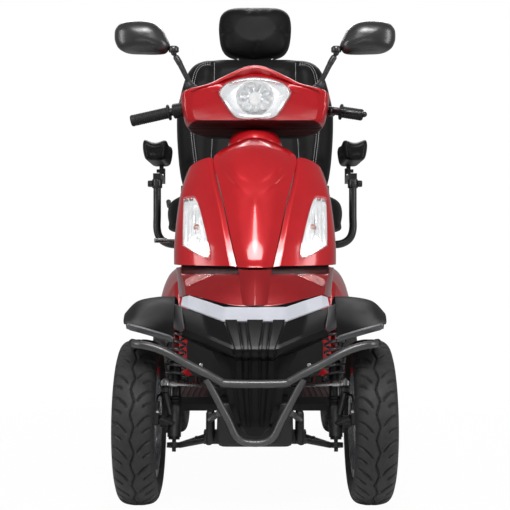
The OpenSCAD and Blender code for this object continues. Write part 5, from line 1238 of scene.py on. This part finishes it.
def on_back(p):
    """Points given across, behind and up along the leaning back, in the scooter's frame."""
    p = np.asarray(p, float)
    return np.stack([p[..., 0], HINGE_Y + p[..., 1] * LEAN_C + p[..., 2] * LEAN_S,
                     HINGE_Z - p[..., 1] * LEAN_S + p[..., 2] * LEAN_C], -1)


def off_back(p):
    """The other way: points of the scooter's frame, given along the back."""
    p = np.asarray(p, float)
    y, z = p[..., 1] - HINGE_Y, p[..., 2] - HINGE_Z
    return np.stack([p[..., 0], y * LEAN_C - z * LEAN_S, y * LEAN_S + z * LEAN_C], -1)


def even_ring(ring, n):
    """The closed ring with n points at equal steps."""
    closed = np.concatenate([ring, ring[:1]])
    at = np.concatenate([[0], np.cumsum(np.linalg.norm(np.diff(closed, axis=0), axis=1))])
    want = np.linspace(0, at[-1], n + 1)[:-1]
    return np.stack([np.interp(want, at, closed[:, k]) for k in (0, 1)], -1)


back_levels = [[0.80, 60], [0.92, 54], [0.985, 34], [1, 8], [0.985, -18], [0.945, -36], [0.88, -44.5], [0.8, -46],
               [0.7, -44], [0.6, -41.5], [0.5, -40], [0.34, -38.5], [0.16, -38], [0.02, -38]]
BACK_W, BACK_H, BACK_MID = 552, 521, 300.5
flat = even_ring(round_rect(BACK_W, BACK_H, 2000, 0.3), 120)
t = flat[:, 1] / BACK_H + 0.5
flat[:, 0] *= 0.90 + 0.10 * np.sin(np.minimum(t, 0.6) / 0.6 * math.pi / 2) - 0.37 * np.maximum(0, t - 0.63)
rings = [on_back(np.stack([flat[:, 0] * k, np.full(len(flat), y), BACK_MID + flat[:, 1] * k], -1))
         for k, y in line_through(back_levels, 3)]
backrest = swell(piece("seat_back_cover", loft_of(rings)), 0.007, 0.009, lambda q: off_back(q)[1] > 45)
fit(backrest, "back", "seat_vinyl", vinyl, "seat_back")
seam = line_through([[142, 533], [141, 500], [142, 400], [145, 300], [150, 190], [148, 100], [140, 62]], 14)
bolster = line_through([[150, 527], [178, 523], [195, 507], [205, 480], [211, 430], [213, 350], [210, 280],
                        [202, 210], [194, 150], [186, 96]], 14)


def sink_back(co):
    p = off_back(co)
    side = np.stack([np.abs(p[:, 0]), p[:, 2]], -1)
    d1, _ = near_line(side, seam)
    d2, _ = near_line(side, bolster)
    deep = 7 * np.exp(-(d1 / 16) ** 2) + 2.5 * np.exp(-(d1 / 4) ** 2) + 3.0 * np.exp(-(d2 / 7) ** 2)
    deep = np.where(p[:, 1] < 0, deep, 0)
    return np.stack([np.zeros(len(co)), deep * LEAN_C, -deep * LEAN_S], -1)


pressed(backrest, sink_back)
tree = surface_of(backrest)
shapes = []
for side in (1, -1):
    for line, shift in ((seam, 3.6), (bolster, -4), (bolster, 4)):
        tang = np.gradient(line, axis=0)
        tang /= np.linalg.norm(tang, axis=1)[:, None]
        row = line + shift * np.stack([tang[:, 1], -tang[:, 0]], -1)
        row = row * [side, 1]
        shapes += stitch_row(tree, row, lambda q: tuple(on_back([q[0], -160, q[1]])), (0, LEAN_C, -LEAN_S))
fit(piece("seat_back_stitches", *shapes, smooth=60), "back", "seat_vinyl", thread)
ear_out = ((-14, 4), (-14, 90), (-6, 110), (58, 118), (70, 112), (70, 60), (30, 18), (14, -14), (0, -20), (-14, -14))
ear = loft_of([on_back([[x, y, z] for y, z in ear_out]) for x in (243, 249)])
fit(soft_edges(piece("seat_back_ears", *pair(ear), smooth=40)), "back", "black_steel", strut_black)

# Headrest: a small pad of the same foam and vinyl over a plate. Its two plated steel rods slide in sockets
# in the backrest.
head_levels = [[0.80, 50], [0.93, 45], [1, 22], [1, -6], [0.95, -26], [0.84, -36], [0.70, -40], [0.5, -41],
               [0.26, -41.5], [0.02, -42]]
HEAD_W, HEAD_H, HEAD_MID = 245, 179, 653
rings = []
for k, y in line_through(head_levels, 3):
    flat = round_rect(HEAD_W * k, HEAD_H * k, 80, 0.5)
    flat[:, 0] *= 1 + 0.0005 * flat[:, 1]
    rings.append(on_back(np.stack([flat[:, 0], np.full(len(flat), y + 12), HEAD_MID + flat[:, 1]], -1)))
pillow = swell(piece("headrest_cover", loft_of(rings)), 0.006, 0.007, lambda q: off_back(q)[1] > 58)
fit(pillow, "head_pad", "seat_vinyl", vinyl, "headrest")
rod = turned_of([(0, 0), (0, 6), (110, 6), (110, 0)], on_back([58, 22, 464]), [0, LEAN_S, LEAN_C], 20)
fit(piece("headrest_rods", *pair(rod), smooth=40), "head_pad", "bright_steel", zinc)

# Arms: bent steel tubes from under the pan, each with a clamp and knob for the height. The moulded pads
# fold up on a pin at their rear end.
ARM_X, ARM_Y = 306, 173
bend = ((184, 648), (236, 648), (272, 652), (296, 668), (ARM_X, 696), (ARM_X, 744), (ARM_X, 833))
tube = line_through([[x, ARM_Y, z] for x, z in bend], 10)
clamp = turned_of([(0, 0), (0, 15), (2, 16), (26, 16), (28, 15), (28, 0)], [ARM_X, ARM_Y, 825], [0, 0, 1], 28)
pin = turned_of([(0, 0), (0, 6), (27, 6), (28, 5), (28, 0)], [294, 331, 891], [1, 0, 0], 24)
carrier = block((294, 318), (161, 341), (849, 871), along_x=True)
lug = block((294, 299), (321, 341), (860, 899), along_x=True)
foot = block((180, 224), (155, 191), (656, 664))
shapes = pair(sweep_of(tube, 12, 20), clamp, carrier, lug, pin, foot)
fit(soft_edges(piece("arm_tubes", *shapes, smooth=40)), "seat", "black_steel", shaft_black, "arm_posts")
knob = turned_of([(0, 0), (0, 5), (4, 5), (4, 9), (6, 10.5), (16, 10.5), (19, 9), (20, 0)], [ARM_X + 10, ARM_Y, 839],
                 [1, 0, 0], 14)
fit(piece("arm_knobs", *pair(knob), smooth=30), "seat", "satin_black", knee_plastic)
pad_shape = [[0, 52], [22, 58], [34, 66], [37, 56], [35, 24], [30, 4], [22, 0], [0, 0], [-22, 0], [-30, 4], [-35, 24],
             [-37, 56], [-34, 66], [-22, 58]]
loop = outline_fill(pad_shape, 5)
pad_vinyl = finish("pad_skin", (0.007, 0.007, 0.0075), 0.34, vary=0.2, patch=12, shine=0.2)
pad_levels = [[0, 0.70], [8, 0.88], [26, 0.98], [80, 0.98], [182, 0.98], [236, 0.98], [254, 0.90], [262, 0.74]]
pad = loft_of([[[ARM_X + a * k, 77 + y, 909 + (b - 4) * (k * 0.6 + 0.4)] for a, b in loop]
               for y, k in line_through(pad_levels, 5)])
tab = block((299.4, 312), (319, 341), (881, 911), along_x=True)
for k, (_, word) in enumerate(SIDES):
    cover = swell(piece("arm_pad_" + word + "_skin", pair(pad)[k]), 0.005, 0.003, lambda q: q[2] < 911)
    fit(cover, "pad_" + word[0], "satin_black", pad_vinyl, "arm_pad_" + word)
    fit(soft_edges(piece("arm_tab_" + word, pair(tab)[k], smooth=40)), "pad_" + word[0], "satin_black", knee_plastic)
